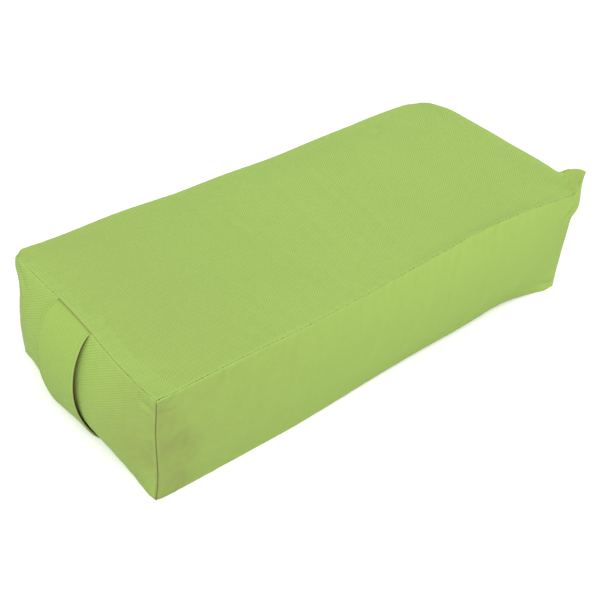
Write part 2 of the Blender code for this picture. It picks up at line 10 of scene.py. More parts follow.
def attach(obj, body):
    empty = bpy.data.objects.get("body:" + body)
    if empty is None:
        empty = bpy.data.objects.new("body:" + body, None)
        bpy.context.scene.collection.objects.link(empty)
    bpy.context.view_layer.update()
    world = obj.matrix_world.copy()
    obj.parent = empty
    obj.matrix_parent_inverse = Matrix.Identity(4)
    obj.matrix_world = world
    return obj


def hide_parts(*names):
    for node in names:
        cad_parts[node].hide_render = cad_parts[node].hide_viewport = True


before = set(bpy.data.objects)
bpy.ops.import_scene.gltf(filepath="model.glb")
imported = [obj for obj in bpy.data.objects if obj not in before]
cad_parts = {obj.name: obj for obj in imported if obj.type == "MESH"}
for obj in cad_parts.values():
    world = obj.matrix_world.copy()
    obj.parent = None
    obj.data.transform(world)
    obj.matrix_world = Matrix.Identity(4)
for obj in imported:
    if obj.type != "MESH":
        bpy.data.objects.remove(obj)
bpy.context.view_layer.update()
print("frame loaded")

# Sizes are metres. The bolster is laid out as a plain box first, and stuffedForm moves every point
# to where the filling pushes it, by the same rule as the solids in the frame.
bolster = {
    "length": 0.650,
    "width": 0.280,
    "height": 0.150,
    "topCrown": 0.0065,
    "frontSwell": 0.0080,
    "rearSwell": 0.0060,
    "plainSwell": 0.0160,
    "handleSwell": 0.0222,
    "seamDrawIn": 0.0095,
    "seamRise": 0.0090,
    "seamLift": 0.0095,
    "topBelly": {"peak": 0.52, "before": 1.0, "after": 0.55, "power": 2.0},
    "topBellyEven": 0.25,
    "footBelly": {"peak": 0.60, "before": 1.05, "after": 0.34, "power": 1.2},
    "footDrawIn": 0.8,
    "backLift": 0.6,
    "longRim": 0.74,
    "endRim": 0.90,
    "plainSeamOut": 0.0090,
    "plainSeamRise": 0.0060,
    "floorCut": 0.0005,
    "rearFlatHalf": 0.272,
    "rearFlatFade": 0.048,
}

# How far each seam runs out of true, mm outwards at even steps from its low end to its high end. All rows
# but handleTop and handleFront came from a program that fitted the outline to the photo, and 12 of their 49
# values were changed since.
seamWander = {
    "rearTop": (4.8, 3.3, 6.0, 0.0, 2.4, -1.7, 1.2, 1.5, 3.2, -1.3),
    "plainTop": (6.9, 5.4, -4.4, -4.8, -2.2, -0.7),
    "frontFoot": (2.9, 2.8, 2.2, 2.8, 2.5, 3.5, 5.9, -2.7, 4.2),
    "frontTop": (0.8, 0.9, -1.6, -0.7, -1.7, 1.9, 2.4, 4.3),
    "plainFront": (-4.8, -1.4, -2.6, -1.3, -8.9),
    "handleRear": (-0.4, 1.8, 1.2, -3.6, 5.6),
    "handleTop": (1.2, 2.2, 2.1, -1.2, -2.8, -2.0, -1.0, 0.0),
    "handleFront": (0.0, 2.0, 1.5, 0.4, -0.8, -0.5, -0.4),
    "handleFoot": (4.0, -1.3, -7.6, 4.0, 0.2, -2.4),
}

# Corners that the filling rounds: which corner, how its tip moves, how far from the corner that begins, and
# how fast it fades down or up the corner's upright seam
roundedCorners = (
    {"side": (-1, -1, 1), "tip": (0.001, 0.000, 0.002), "along": (0.030, 0.030), "drop": 3},
    {"side": (-1, 1, 1), "tip": (0.000, -0.001, 0.0040), "along": (0.040, 0.034), "drop": 3},
    {"side": (-1, 1, 1), "tip": (0.0065, -0.0045, -0.0045), "along": (0.012, 0.012), "drop": 14},
    {"side": (1, 1, 1), "tip": (-0.012, -0.013, 0.001), "along": (0.050, 0.050), "drop": 3},
    {"side": (-1, -1, -1), "tip": (0.0020, 0.0020, 0.0012), "along": (0.012, 0.012), "drop": 14},
)

# The last top corner stands up as an ear of empty cloth, creased where it leaves the filling
ear = {
    "tip": (0.0109, 0.0051, 0.0264),
    "fullness": 0.55,
    "fade": 1.6,
    "cheek": (0.0046, -0.0034),
    "cheekHeight": 0.1300,
    "cheekReach": 0.0070,
    "along": 0.009,
    "across": 0.047,
    "down": 0.030,
    "crease": 0.05,
    "grooveDepth": 0.0040,
    "grooveWidth": 0.10,
    "grooveFrom": 0.62,
    "grooveFade": 0.2,
    "grooveFoot": 0.012,
}


# Node trees

class Link:
    # A socket that sums can be written with

    def __init__(self, tree, socket):
        self.tree = tree
        self.socket = socket

    def sum(self, operation, first, second=None):
        values = {0: first} if second is None else {0: first, 1: second}
        return self.tree.node("ShaderNodeMath", {"operation": operation}, values)

    def __add__(self, other):
        return self.sum("ADD", self, other)

    def __radd__(self, other):
        return self.sum("ADD", other, self)

    def __sub__(self, other):
        return self.sum("SUBTRACT", self, other)

    def __rsub__(self, other):
        return self.sum("SUBTRACT", other, self)

    def __mul__(self, other):
        return self.sum("MULTIPLY", self, other)

    def __rmul__(self, other):
        return self.sum("MULTIPLY", other, self)

    def __truediv__(self, other):
        return self.sum("DIVIDE", self, other)

    def __mod__(self, other):
        return self.sum("FLOORED_MODULO", self, other)

    def __gt__(self, other):
        return self.sum("GREATER_THAN", self, other)

    def floor(self):
        return self.sum("FLOOR", self)

    def part(self):
        return self.sum("FRACT", self)

    def sine(self):
        return self.sum("SINE", self)

    def atLeast(self, lowest):
        return self.sum("MAXIMUM", self, lowest)

    def atMost(self, highest):
        return self.sum("MINIMUM", self, highest)


class NodeTree:
    # Adds nodes to a tree, each from its type, its settings and what goes into its sockets

    def __init__(self, tree):
        self.tree = tree

    def node(self, kind, settings=None, values=None, output=0):
        made = self.tree.nodes.new(kind)
        for name, value in (settings or {}).items():
            setattr(made, name, value)
        for key, value in (values or {}).items():
            socket = findSocket(made.inputs, key)
            if isinstance(value, Link):
                self.tree.links.new(value.socket, socket)
            else:
                socket.default_value = value
        return Link(self, findSocket(made.outputs, output))


def findSocket(sockets, key):
    if isinstance(key, int):
        return sockets[key]
    for socket in sockets:
        if socket.identifier == key:
            return socket
    return sockets[key]


def mixColour(tree, factor, low, high):
    return tree.node("ShaderNodeMix", {"data_type": "RGBA"},
                     {"Factor_Float": factor, "A_Color": low, "B_Color": high}, "Result_Color")


def tint(colour, levels):
    # A colour at one level, or with a level for each of its three parts
    levels = levels if isinstance(levels, tuple) else (levels,) * 3
    return tuple(part * level for part, level in zip(colour, levels)) + (1.0,)


def noiseAt(tree, where, scale, detail, dimensions="3D", **more):
    return tree.node("ShaderNodeTexNoise", {"noise_dimensions": dimensions},
                     {"Vector": where, "Scale": scale, "Detail": detail, **more})


def newMaterial(name, roughness, metallic=0.0, sheen=0.0, specular=0.5):
    # A material, its node tree, its shader and the place of a point on the object
    material = bpy.data.materials.new(name)
    material.use_nodes = True
    tree = NodeTree(material.node_tree)
    shader = material.node_tree.nodes["Principled BSDF"]
    shader.inputs["Roughness"].default_value = roughness
    shader.inputs["Metallic"].default_value = metallic
    shader.inputs["Sheen Weight"].default_value = sheen
    shader.inputs["Sheen Roughness"].default_value = 0.5
    shader.inputs["Specular IOR Level"].default_value = specular
    return material, tree, shader, tree.node("ShaderNodeTexCoord", {}, {}, "Object")


def feed(tree, shader, name, link):
    tree.tree.links.new(link.socket, shader.inputs[name])


def emboss(tree, shader, strength, distance, height):
    bump = tree.node("ShaderNodeBump", {}, {"Strength": strength, "Distance": distance, "Height": height})
    feed(tree, shader, "Normal", bump)


# Woven cloths

coverTwill = {
    "colour": (0.412, 0.596, 0.138),
    "valleyShade": 0.80,
    "warpPitch": 0.00081,
    "weftPitch": 0.00111,
    "floatLength": 4,
    "bump": 0.00021,
    "roughness": 0.90,
    "sheen": 0.04,
    "cloud": 0.030,
    # The colour that the cloth darkens towards, in part as painted shade, and the colour of the painted shade
    # along the near upright seam
    "darken": (0.298, 0.325, 0.098, 1.0),
    "deepShade": (0.085, 0.118, 0.014, 1.0),
    "stitchPitch": 0.0066,
    "stitchMark": 0.0011,
}
sideTwill = dict(coverTwill, colour=(0.401, 0.582, 0.128), valleyShade=0.86, bump=0.00014)
strapTwill = dict(coverTwill, colour=(0.381, 0.556, 0.120), valleyShade=0.86, bump=0.00014,
                  darken=(0.380, 0.330, 0.130, 1.0))
calico = {
    "colour": (0.78, 0.74, 0.63),
    "valleyShade": 0.84,
    "warpPitch": 0.00050,
    "weftPitch": 0.00050,
    "floatLength": 2,
    "bump": 0.00015,
    "roughness": 0.93,
    "sheen": 0.05,
    "cloud": 0.05,
    "darken": (0.60, 0.55, 0.42, 1.0),
    "deepShade": (0.21, 0.19, 0.15, 1.0),
    "stitchPitch": 0.0060,
    "stitchMark": 0.0007,
}


# What all the cloths share: how yarns lie, how thick they are, and how much each kind of wear, darkening and
# painted light shows
weave = {
    "dip": 0.30,
    "weftHeight": 0.45,
    "slubScale": 90.0,
    "slubStep": 7.3,
    "cloudScale": 9.0,
    "fuzzScale": 2600.0,
    "pullScale": 110.0,
    "pullFrom": 0.40,
    "pullContrast": 4.0,
    "crown": 1.10,
    "dark": 0.55,
    "worn": (1.08, 1.04, 1.30),
    "wornShare": 0.35,
    "wornSheen": 0.08,
    # Painted light on the inside of the ear
    "earLight": (1.31, 1.16, 1.31),
    "earLightShare": 0.6,
    "dullingShare": 0.8,
    "dimpleShadeShare": 0.7,
    "markDepth": 1.6,
}


def wovenCloth(name, cloth):
    # Warp yarns run along U and each floats over all but one of the weft yarns that it crosses
    material, tree, shader, where = newMaterial(name, cloth["roughness"], sheen=cloth["sheen"], specular=0.2)
    flat = tree.node("ShaderNodeUVMap", {"uv_map": "cut"})
    along = tree.node("ShaderNodeSeparateXYZ", {}, {0: flat}, "X")
    across = Link(tree, along.socket.node.outputs["Y"])
    warp = across / cloth["warpPitch"]
    weft = along / cloth["weftPitch"]
    repeat = cloth["floatLength"]
    step = (weft.floor() - warp.floor()) % float(repeat)
    onTop = step > 0.5
    ride = (step - 1.0 + weft.part()) / float(repeat - 1)
    warpArch = (warp.part() * pi).sine() * (1.0 - weave["dip"] + weave["dip"] * (ride * pi).sine())
    weftArch = (weft.part() * pi).sine() * weave["weftHeight"]
    yarns = weftArch + onTop * (warpArch - weftArch)
    wale = ((weft - warp) * (2.0 * pi / repeat) - pi / 2).sine()

    # Yarns vary in thickness along their length, and the dye in the piece
    warpKey = tree.node("ShaderNodeCombineXYZ", {},
                        {0: along * weave["slubScale"], 1: warp.floor() * weave["slubStep"]})
    slub = noiseAt(tree, warpKey, 1.0, 1.0, "2D")
    cloud = noiseAt(tree, where, weave["cloudScale"], 3.0, Roughness=0.55)
    fuzz = noiseAt(tree, where, weave["fuzzScale"], 2.0)
    worn, dullingAndPaintedLight, seamAway, seamRun = (
        tree.node("ShaderNodeAttribute", {"attribute_name": title}, {}, "Fac")
        for title in ("worn", "dullingAndPaintedLight", "seamAway", "seamRun"))

    # Each stitch of a seam pulls the cloth in, some more than others
    pull = noiseAt(tree, where, weave["pullScale"], 1.0)
    pulled = ((pull - weave["pullFrom"]) * weave["pullContrast"]).atLeast(0.0).atMost(1.0)
    place = ((seamRun / cloth["stitchPitch"]).part() - 0.5) * cloth["stitchPitch"]
    reach = (place * place + seamAway * seamAway) / cloth["stitchMark"] ** 2
    dimple = (1.0 - reach).atLeast(0.0) * pulled

    base = cloth["colour"]
    # The colour follows the height of the yarns: painted shade in the valleys between them and painted light
    # on their crowns
    level = yarns * 0.55 + wale * 0.20 + slub * 0.30 + 0.06
    uneven = (cloud - 0.5) * 2.0 * cloth["cloud"] + cloth["cloud"]
    yarnShaded = mixColour(tree, level, tint(base, cloth["valleyShade"]), tint(base, weave["crown"]))
    dyed = mixColour(tree, uneven, yarnShaded, tint(base, weave["dark"]))
    toned = mixColour(tree, worn * weave["wornShare"], dyed, tint(base, weave["worn"]))
    # Below zero the attribute paints the inside of the ear lighter, as painted light
    earLight = mixColour(tree, (dullingAndPaintedLight * -weave["earLightShare"]).atLeast(0.0), toned, tint(base, weave["earLight"]))
    # Up to 1 the attribute dulls the cloth; under the strap and on the strap's inner face this is painted
    # shade
    dulledAndShaded = mixColour(tree, dullingAndPaintedLight.atMost(1.0) * weave["dullingShare"], earLight, cloth["darken"])
    # Above 1 it is the deep painted shade of the line along the near upright seam
    deepShaded = mixColour(tree, (dullingAndPaintedLight - 1.0).atLeast(0.0), dulledAndShaded, cloth["deepShade"])
    # Each stitch dimple is painted darker, as painted shade
    dimpleShaded = mixColour(tree, dimple * weave["dimpleShadeShare"], deepShaded, tint(cloth["darken"], weave["dark"]))
    feed(tree, shader, "Base Color", dimpleShaded)
    feed(tree, shader, "Roughness", cloth["roughness"] - worn * weave["wornSheen"] + (slub - 0.5) * 0.06)
    height = yarns * 0.75 + wale * 0.35 + (slub - 0.5) * 0.35 + (fuzz - 0.5) * 0.25
    height = height - dimple * weave["markDepth"]
    emboss(tree, shader, 1.0, cloth["bump"], height)
    return material


# The stuffed form

def ramp(value):
    value = np.clip(value, 0.0, 1.0)
    return value * value * (3.0 - 2.0 * value)


def shoulder(part, power):
    return 1.0 - np.minimum(1.0, np.abs(part)) ** power


def belly(part, peak, before, after, power):
    away = np.where(part > peak, (part - peak) / after, (part - peak) / before)
    return np.maximum(0.0, np.cos(pi / 2 * np.minimum(1.0, np.abs(away)))) ** power


def knotWeights(part, count):
    # Shares of evenly spaced knots, first at -1 and last at 1, in a smooth curve at each place
    away = np.abs(np.asarray(part)[..., None] - np.linspace(-1.0, 1.0, count)) * (count - 1) / 2
    near = (4.0 - 6.0 * away ** 2 + 3.0 * away ** 3) / 6.0
    far = (2.0 - np.minimum(away, 2.0)) ** 3 / 6.0
    return np.where(away < 1.0, near, far)


def wander(seam, part):
    return knotWeights(part, len(seamWander[seam])) @ np.array(seamWander[seam]) * 0.001


def earLift(x, y, z):
    # How far a point of the plain box is raised into the ear, 1 at its tip, and how far inside the crease
    # it is. The ear's seams run straight from the tip to the crease, and it fades down the two sides.
    inside = 1.0 - (bolster["length"] / 2 - x) / ear["along"] - (bolster["width"] / 2 + y) / ear["across"]
    folded = (np.sqrt(inside * inside + ear["crease"] ** 2) + inside) / 2
    folded = folded * (1.0 + ear["fullness"] * (1.0 - folded))
    fade = np.clip(1.0 - (bolster["height"] - z) / ear["down"], 0.0, 1.0) ** ear["fade"]
    return folded * fade, inside


def rim(part, start):
    # 0 up to a share of the half width, and 1 at the seam
    return ramp((part - start) / (1.0 - start))


def stuffedForm(points):
    # Where points of the plain box go when the bolster is filled
    size = bolster
    x, y, z = points[..., 0], points[..., 1], points[..., 2]
    u = 2.0 * x / size["length"]
    v = 2.0 * y / size["width"]
    w = 2.0 * z / size["height"] - 1.0
    up, down = np.maximum(0.0, w), np.maximum(0.0, -w)
    front, rear = np.maximum(0.0, -v), np.maximum(0.0, v)
    plain, handle = np.maximum(0.0, u), np.maximum(0.0, -u)

    # Panels crown between their seams
    dz = size["topCrown"] * shoulder(u, 9.0) * shoulder(v, 5.0) * up ** 1.5
    dy = -size["frontSwell"] * shoulder(u, 8.0) * shoulder(w, 2.6) * front ** 1.5
    flat = 1.0 - ramp((np.abs(x) - size["rearFlatHalf"]) / size["rearFlatFade"])
    dy += size["rearSwell"] * flat * shoulder(w, 3.0) * rear ** 1.5
    dx = size["plainSwell"] * plain ** 6 * shoulder(v, 3.0) * shoulder(w, 2.0)
    dx -= size["handleSwell"] * handle ** 6 * shoulder(v, 3.4) * shoulder(w, np.where(w > 0.0, 2.0, 2.6))

    # The front seams are drawn in between the corners, most towards the plain end
    even = size["topBellyEven"]
    topBelly = even * shoulder(u, 4.0) + (1.0 - even) * belly(u, **size["topBelly"])
    footBelly = belly(u, **size["footBelly"])
    dy += size["seamDrawIn"] * topBelly * front ** 6 * up ** 3
    dz += size["seamRise"] * topBelly * front ** 4 * up ** 3
    dy += size["footDrawIn"] * size["seamDrawIn"] * footBelly * front ** 6 * down ** 3
    dz += size["seamLift"] * footBelly * rim(front, size["longRim"]) * down ** 2

    # Seams at the rear and the plain end lift off the floor, and the plain end is pushed out
    backLift = size["backLift"] * size["seamLift"]
    dz += backLift * shoulder(u, 2.0) * rim(rear, size["longRim"]) * down ** 2
    dz += backLift * shoulder(v, 2.0) * rim(plain, size["endRim"]) * down ** 2
    dz += size["plainSeamRise"] * shoulder(v, 2.0) * plain ** 16 * up ** 3
    dx += size["plainSeamOut"] * shoulder(v, 2.0) * (1.0 - 0.7 * v) * plain ** 16 * up ** 3

    # Every seam runs a little out of true
    pushed = 0.7 * wander("rearTop", u) * rear ** 6 * up ** 3
    drawn = wander("handleFoot", v) * handle ** 16 * down ** 3
    dy += pushed - wander("frontFoot", u) * front ** 6 * down ** 3
    dz += pushed + wander("frontTop", u) * front ** 4 * up ** 3 + 0.6 * np.maximum(0.0, -drawn)
    dx += wander("plainTop", v) * plain ** 16 * up ** 3 + wander("plainFront", w) * plain ** 16 * front ** 6
    dx -= wander("handleRear", w) * handle ** 16 * rear ** 6 + drawn
    level = wander("handleTop", v) * handle ** 16 * up ** 6
    dx -= level
    dz -= 0.5 * level
    aside = wander("handleFront", w) * handle ** 16 * front ** 12
    dx += aside
    dy -= aside

    for corner in roundedCorners:
        awayX = (1.0 - corner["side"][0] * u) * size["length"] / 2 / corner["along"][0]
        awayY = (1.0 - corner["side"][1] * v) * size["width"] / 2 / corner["along"][1]
        fall = (np.clip(1.0 - awayX, 0.0, 1.1) * np.clip(1.0 - awayY, 0.0, 1.1)) ** 1.5
        fall = fall * (up if corner["side"][2] > 0 else down) ** corner["drop"]
        dx += corner["tip"][0] * fall
        dy += corner["tip"][1] * fall
        dz += corner["tip"][2] * fall

    # The empty corner stands up, with a fold below it and a groove at its foot
    lift, inside = earLift(x, y, z)
    dx += ear["tip"][0] * lift
    dy += ear["tip"][1] * lift
    dz += ear["tip"][2] * lift
    cheek = np.exp(-((z - ear["cheekHeight"]) / ear["cheekReach"]) ** 2 / 2) * plain ** 16 * front ** 6
    dx += ear["cheek"][0] * cheek
    dy += ear["cheek"][1] * cheek
    groove = np.exp(-((inside - ear["grooveWidth"]) / ear["grooveWidth"]) ** 2)
    groove = groove * ramp((front - ear["grooveFrom"]) / ear["grooveFade"])
    atFoot = ramp((size["width"] / 2 + y) / ear["grooveFoot"])
    dz -= ear["grooveDepth"] * groove * plain ** 16 * up ** 6 * atFoot
    dz -= size["floorCut"] * shoulder(u, 12.0) * shoulder(v, 8.0) * down ** 2
    return np.stack([x + dx, y + dy, np.maximum(0.0, z + dz)], -1)


# Sewn panels. Each is cut flat, and its edges roll in at the seams, where the seam allowance goes on inside.

sewing = {
    "cloth": 0.0008,
    "roll": 0.0010,
    "seamGap": 0.00008,
    "allowance": (0.0015, 0.0035, 0.0060),
    "foldEnd": (0.0003,),
    "rollSteps": 6,
    "middleStep": 0.0024,
    "puckerDepth": 0.000672,
    "puckerReach": 0.0055,
    "puckerLength": 0.0085,
    "puckerLean": (0.15, 0.25),
    "lumpDepth": 0.0010,
    "lumpLength": 0.085,
    "lumpSettle": 0.022,
    "fineShare": 0.35,
    "fineLength": 0.4,
    "openAt": (-0.325, -0.060, 0.150),
    "openReach": 0.16,
    "closed": 0.26,
    "uneven": 0.5,
    "unevenLength": 0.014,
    "wornReach": 0.0025,
    "earLightRise": 0.004,
}


def softNoise(points, length, seed):
    shift = Vector((seed * 17.31, seed * 5.77, seed * 9.13))
    flat = points.reshape(-1, points.shape[-1])
    found = [noise.noise(Vector(point) / length + shift) for point in flat]
    return np.array(found).reshape(points.shape[:-1])


def rollIn(kind):
    # Stations from the end of the flat cloth outwards: how far along, how far in from the face and how much
    # cloth, each as a part that grows with the roll and a part that does not
    turn = radians(135.0) if kind == "seam" else radians(90.0)
    steps = sewing["rollSteps"]
    stations = []
    for step in range(1, steps + 1):
        angle = turn * step / steps
        stations.append(np.array([[sin(angle), 0.0], [1.0 - cos(angle), 0.0], [angle, 0.0]]))
    rolled = stations[-1]
    for more in sewing["allowance"] if kind == "seam" else sewing["foldEnd"]:
        stations.append(rolled + np.array([[0.0, more * cos(turn)], [0.0, more * sin(turn)], [0.0, more]]))
    return stations


def layStations(low, high, kinds, step, rolls):
    # Places, depths and cloth coordinates across a panel, one row a station and one column a place along its
    # edges. rolls has the roll radius of the low and the high edge at each of those places.
    inset = {"seam": 1.0 + sqrt(2.0), "fold": 1.0}
    gap = {"seam": sewing["seamGap"], "fold": 0.0}
    start = low + gap[kinds[0]] + inset[kinds[0]] * rolls[0]
    stop = high - gap[kinds[1]] - inset[kinds[1]] * rolls[1]
    count = int(round((high - low) / step))
    middle = [start + (stop - start) * index / count for index in range(count + 1)]
    places, depths, cuts = list(middle), [rolls[0] * 0.0] * (count + 1), list(middle)
    for parts in rollIn(kinds[0]):
        along, depth, cloth = (part[0] * rolls[0] + part[1] for part in parts)
        places.insert(0, start - along)
        depths.insert(0, depth)
        cuts.insert(0, start - cloth)
    for parts in rollIn(kinds[1]):
        along, depth, cloth = (part[0] * rolls[1] + part[1] for part in parts)
        places.append(stop + along)
        depths.append(depth)
        cuts.append(stop + cloth)
    tucked = np.zeros(len(places), dtype=bool)
    inner = len(sewing["allowance"])
    tucked[:inner] = kinds[0] == "seam"
    tucked[-inner:] = kinds[1] == "seam"
    return np.array(places), np.array(depths), np.array(cuts), tucked


def seamRolls(face, low, high, axis, other, along, roll):
    # Roll radius along both edges of a panel: seams stand open near one place and lie shut away from it
    rolls = []
    for edge in (low[axis], high[axis]):
        points = np.zeros((len(along), 3))
        points[:, axis] = edge
        points[:, other] = along
        points[:, face["out"]] = high[face["out"]] if face["sign"] > 0 else low[face["out"]]
        away = np.linalg.norm(points - np.array(sewing["openAt"]), axis=1) / sewing["openReach"]
        share = sewing["closed"] + (1.0 - sewing["closed"]) * np.exp(-away ** 2)
        rolls.append(roll * share * (1.0 + sewing["uneven"] * softNoise(points, sewing["unevenLength"], 7)))
    return rolls


def puckers(edgeAway, along, seed):
    # Little gathers beside a seam, deepest a few millimetres from it
    away = np.maximum(0.0, edgeAway) / sewing["puckerReach"]
    profile = away * np.exp(1.0 - away)
    lean, drift = sewing["puckerLean"]
    line = np.stack([along + edgeAway * lean, np.full_like(along, 0.0), edgeAway * drift], -1)
    ripple = softNoise(line, sewing["puckerLength"], seed)
    ripple += 0.6 * softNoise(line, sewing["puckerLength"] * 0.45, seed + 3)
    return sewing["puckerDepth"] * profile * ripple


faces = {
    "top": {"axes": (0, 1), "out": 2, "sign": 1},
    "bottom": {"axes": (0, 1), "out": 2, "sign": -1},
    "front": {"axes": (0, 2), "out": 1, "sign": -1},
    "rear": {"axes": (0, 2), "out": 1, "sign": 1},
    "handle": {"axes": (1, 2), "out": 0, "sign": -1},
    "plain": {"axes": (1, 2), "out": 0, "sign": 1},
}
boxLow = np.array([-bolster["length"] / 2, -bolster["width"] / 2, 0.0])
boxHigh = np.array([bolster["length"] / 2, bolster["width"] / 2, bolster["height"]])
laidPanels = {}


def isTurned(face):
    # Whether a face's two axes run so that its grid looks into the box
    return (face["out"] == 1) == (face["sign"] > 0)


def boxGrid(low, high, step):
    # The box's surface as an even grid: its points, its faces, and which points make up each of its six sides
    counts = [int(round((high[axis] - low[axis]) / step)) for axis in range(3)]
    lines = [np.linspace(low[axis], high[axis], counts[axis] + 1) for axis in range(3)]
    found, points, quads, sides = {}, [], [], {}
    for name, face in faces.items():
        a, b = face["axes"]
        spots = np.zeros((counts[a] + 1, counts[b] + 1), dtype=int)
        for i in range(counts[a] + 1):
            for j in range(counts[b] + 1):
                key = [0, 0, 0]
                key[a], key[b] = i, j
                key[face["out"]] = counts[face["out"]] if face["sign"] > 0 else 0
                if tuple(key) not in found:
                    found[tuple(key)] = len(points)
                    points.append([lines[axis][key[axis]] for axis in range(3)])
                spots[i, j] = found[tuple(key)]
        sides[name] = spots
        quads += gridQuads(spots, isTurned(face))
    return np.array(points), quads, sides


def gridQuads(spots, turned):
    # The quads of a grid of point numbers, where -1 stands for no point
    quads = []
    for i in range(spots.shape[0] - 1):
        for j in range(spots.shape[1] - 1):
            corners = (spots[i, j], spots[i + 1, j], spots[i + 1, j + 1], spots[i, j + 1])
            if min(corners) >= 0:
                quads.append(corners[::-1] if turned else corners)
    return quads


def gridNormals(points, flip):
    alongA = np.gradient(points, axis=0)
    alongB = np.gradient(points, axis=1)
    normals = np.cross(alongA, alongB)
    normals /= np.maximum(np.linalg.norm(normals, axis=-1, keepdims=True), 1e-12)
    return -normals if flip else normals


def layPanel(face, low, high, kinds, roll, step):
    # A panel's flat grid: its places in the box, how deep each is under the face, and its place on the cloth
    a, b = face["axes"]
    plainRolls = [np.array([roll]), np.array([roll])]
    rough = [layStations(low[axis], high[axis], ends, step, plainRolls)[0][:, 0]
             for axis, ends in ((a, kinds[:2]), (b, kinds[2:]))]
    placeA, depthA, cutA, tuckedA = layStations(
        low[a], high[a], kinds[:2], step, seamRolls(face, low, high, a, b, rough[1], roll))
    placeB, depthB, cutB, tuckedB = (part.T for part in layStations(
        low[b], high[b], kinds[2:], step, seamRolls(face, low, high, b, a, rough[0], roll)))

    # Seam allowances get shorter towards the corners, so that those of three panels fit side by side
    full = roll * (1.0 + sqrt(0.5))
    middleA, halfA = (low[a] + high[a]) / 2, (high[a] - low[a]) / 2
    middleB, halfB = (low[b] + high[b]) / 2, (high[b] - low[b]) / 2
    shrinkB = np.where(tuckedA[:, None] & (depthA > full), (halfB - depthA) / (halfB - full), 1.0)
    shrinkA = np.where(tuckedB[None, :] & (depthB > full), (halfA - depthB) / (halfA - full), 1.0)
    return {
        "a": middleA + (placeA - middleA) * shrinkA,
        "b": middleB + (placeB - middleB) * shrinkB,
        "depth": np.maximum(depthA, depthB),
        "cutA": cutA,
        "cutB": cutB,
        "keep": ~(tuckedA[:, None] & tuckedB[None, :]),
        "rough": rough,
    }


def panelHeight(points, flat, face, low, high, kinds, relief, detail):
    # What the filling and the seams add to a panel's form, and how far each point is from and along a seam
    a, b = face["axes"]
    cutA, cutB = flat["cutA"], flat["cutB"]
    awayA = np.stack([cutA - low[a], high[a] - cutA])
    awayB = np.stack([cutB - low[b], high[b] - cutB])
    nearest = np.minimum(awayA.min(0), awayB.min(0))
    seamRun = np.where(awayA.min(0) < awayB.min(0), cutB, cutA)
    settled = 1.0 - np.exp(-np.maximum(0.0, nearest) / sewing["lumpSettle"])
    fine = sewing["lumpLength"] * sewing["fineLength"]
    height = sewing["lumpDepth"] * settled * softNoise(points, sewing["lumpLength"], 4)
    height += sewing["fineShare"] * sewing["lumpDepth"] * settled * softNoise(points, fine, 8)
    if relief is not None:
        partA = (flat["rough"][0] - low[a]) / (high[a] - low[a]) * 2.0 - 1.0
        partB = (flat["rough"][1] - low[b]) / (high[b] - low[b]) * 2.0 - 1.0
        crease = knotWeights(partA, relief.shape[0]) @ relief @ knotWeights(partB, relief.shape[1]).T
        height += crease * (1.0 - np.exp(-(np.maximum(0.0, nearest) / blowUp["seamFade"]) ** 2))
    for side in range(2):
        if kinds[side] == "seam":
            height += puckers(awayA[side], cutB, 11 + 2 * a + side)
        if kinds[2 + side] == "seam":
            height += puckers(awayB[side], cutA, 21 + 2 * b + side)
    if detail:
        height += detail(cutA, cutB)
    if face["sign"] < 0 and face["out"] == 2:
        height = np.minimum(height, 0.0) * settled
    return height, nearest, seamRun


def sewnPanel(name, face, low=boxLow, high=boxHigh, kinds=("seam", "seam", "seam", "seam"), roll=None,
              step=None, bend=None, detail=None, relief=None):
    # One cloth panel of the box as a grid of points, from its two directions in the box
    a, b = face["axes"]
    out, sign = face["out"], face["sign"]
    flat = layPanel(face, low, high, kinds, roll or sewing["roll"], step or sewing["middleStep"])
    placeA, placeB, depth = flat["a"], flat["b"], flat["depth"]
    if bend:
        placeA, placeB, depth = bend(placeA, placeB, depth)
    points = np.zeros(placeA.shape + (3,))
    points[..., a] = placeA
    points[..., b] = placeB
    points[..., out] = (high[out] if sign > 0 else low[out]) - sign * depth
    raised = ear["tip"][2] * earLift(points[..., 0], points[..., 1], points[..., 2])[0]
    points = stuffedForm(points)
    height, nearest, seamRun = panelHeight(points, flat, face, low, high, kinds, relief, detail)
    flip = isTurned(face)
    points = points + gridNormals(points, flip) * height[..., None]
    points[..., 2] = np.maximum(points[..., 2], 0.0)
    cutA, cutB = flat["cutA"], flat["cutB"]
    laidPanels[name] = {"points": points, "normals": gridNormals(points, flip),
                        "a": cutA[:, cutA.shape[1] // 2], "b": cutB[cutB.shape[0] // 2, :]}
    lifted = (raised * (a == 0), raised * (b == 2))
    return {"points": points, "cutA": cutA, "cutB": cutB, "keep": flat["keep"], "flip": flip,
            "nearest": nearest, "seamRun": seamRun, "lifted": lifted}


def onPanel(name, a, b):
    # Point and outward direction on a finished panel at cloth coordinates
    panel = laidPanels[name]
    i = np.interp(a, panel["a"], range(len(panel["a"])))
    j = np.interp(b, panel["b"], range(len(panel["b"])))
    i0, j0 = min(int(i), len(panel["a"]) - 2), min(int(j), len(panel["b"]) - 2)
    s, t = i - i0, j - j0
    found = []
    for key in ("points", "normals"):
        grid = panel[key]
        near = grid[i0, j0] * (1 - t) + grid[i0, j0 + 1] * t
        far = grid[i0 + 1, j0] * (1 - t) + grid[i0 + 1, j0 + 1] * t
        found.append(near * (1 - s) + far * s)
    return found[0], found[1] / np.linalg.norm(found[1])


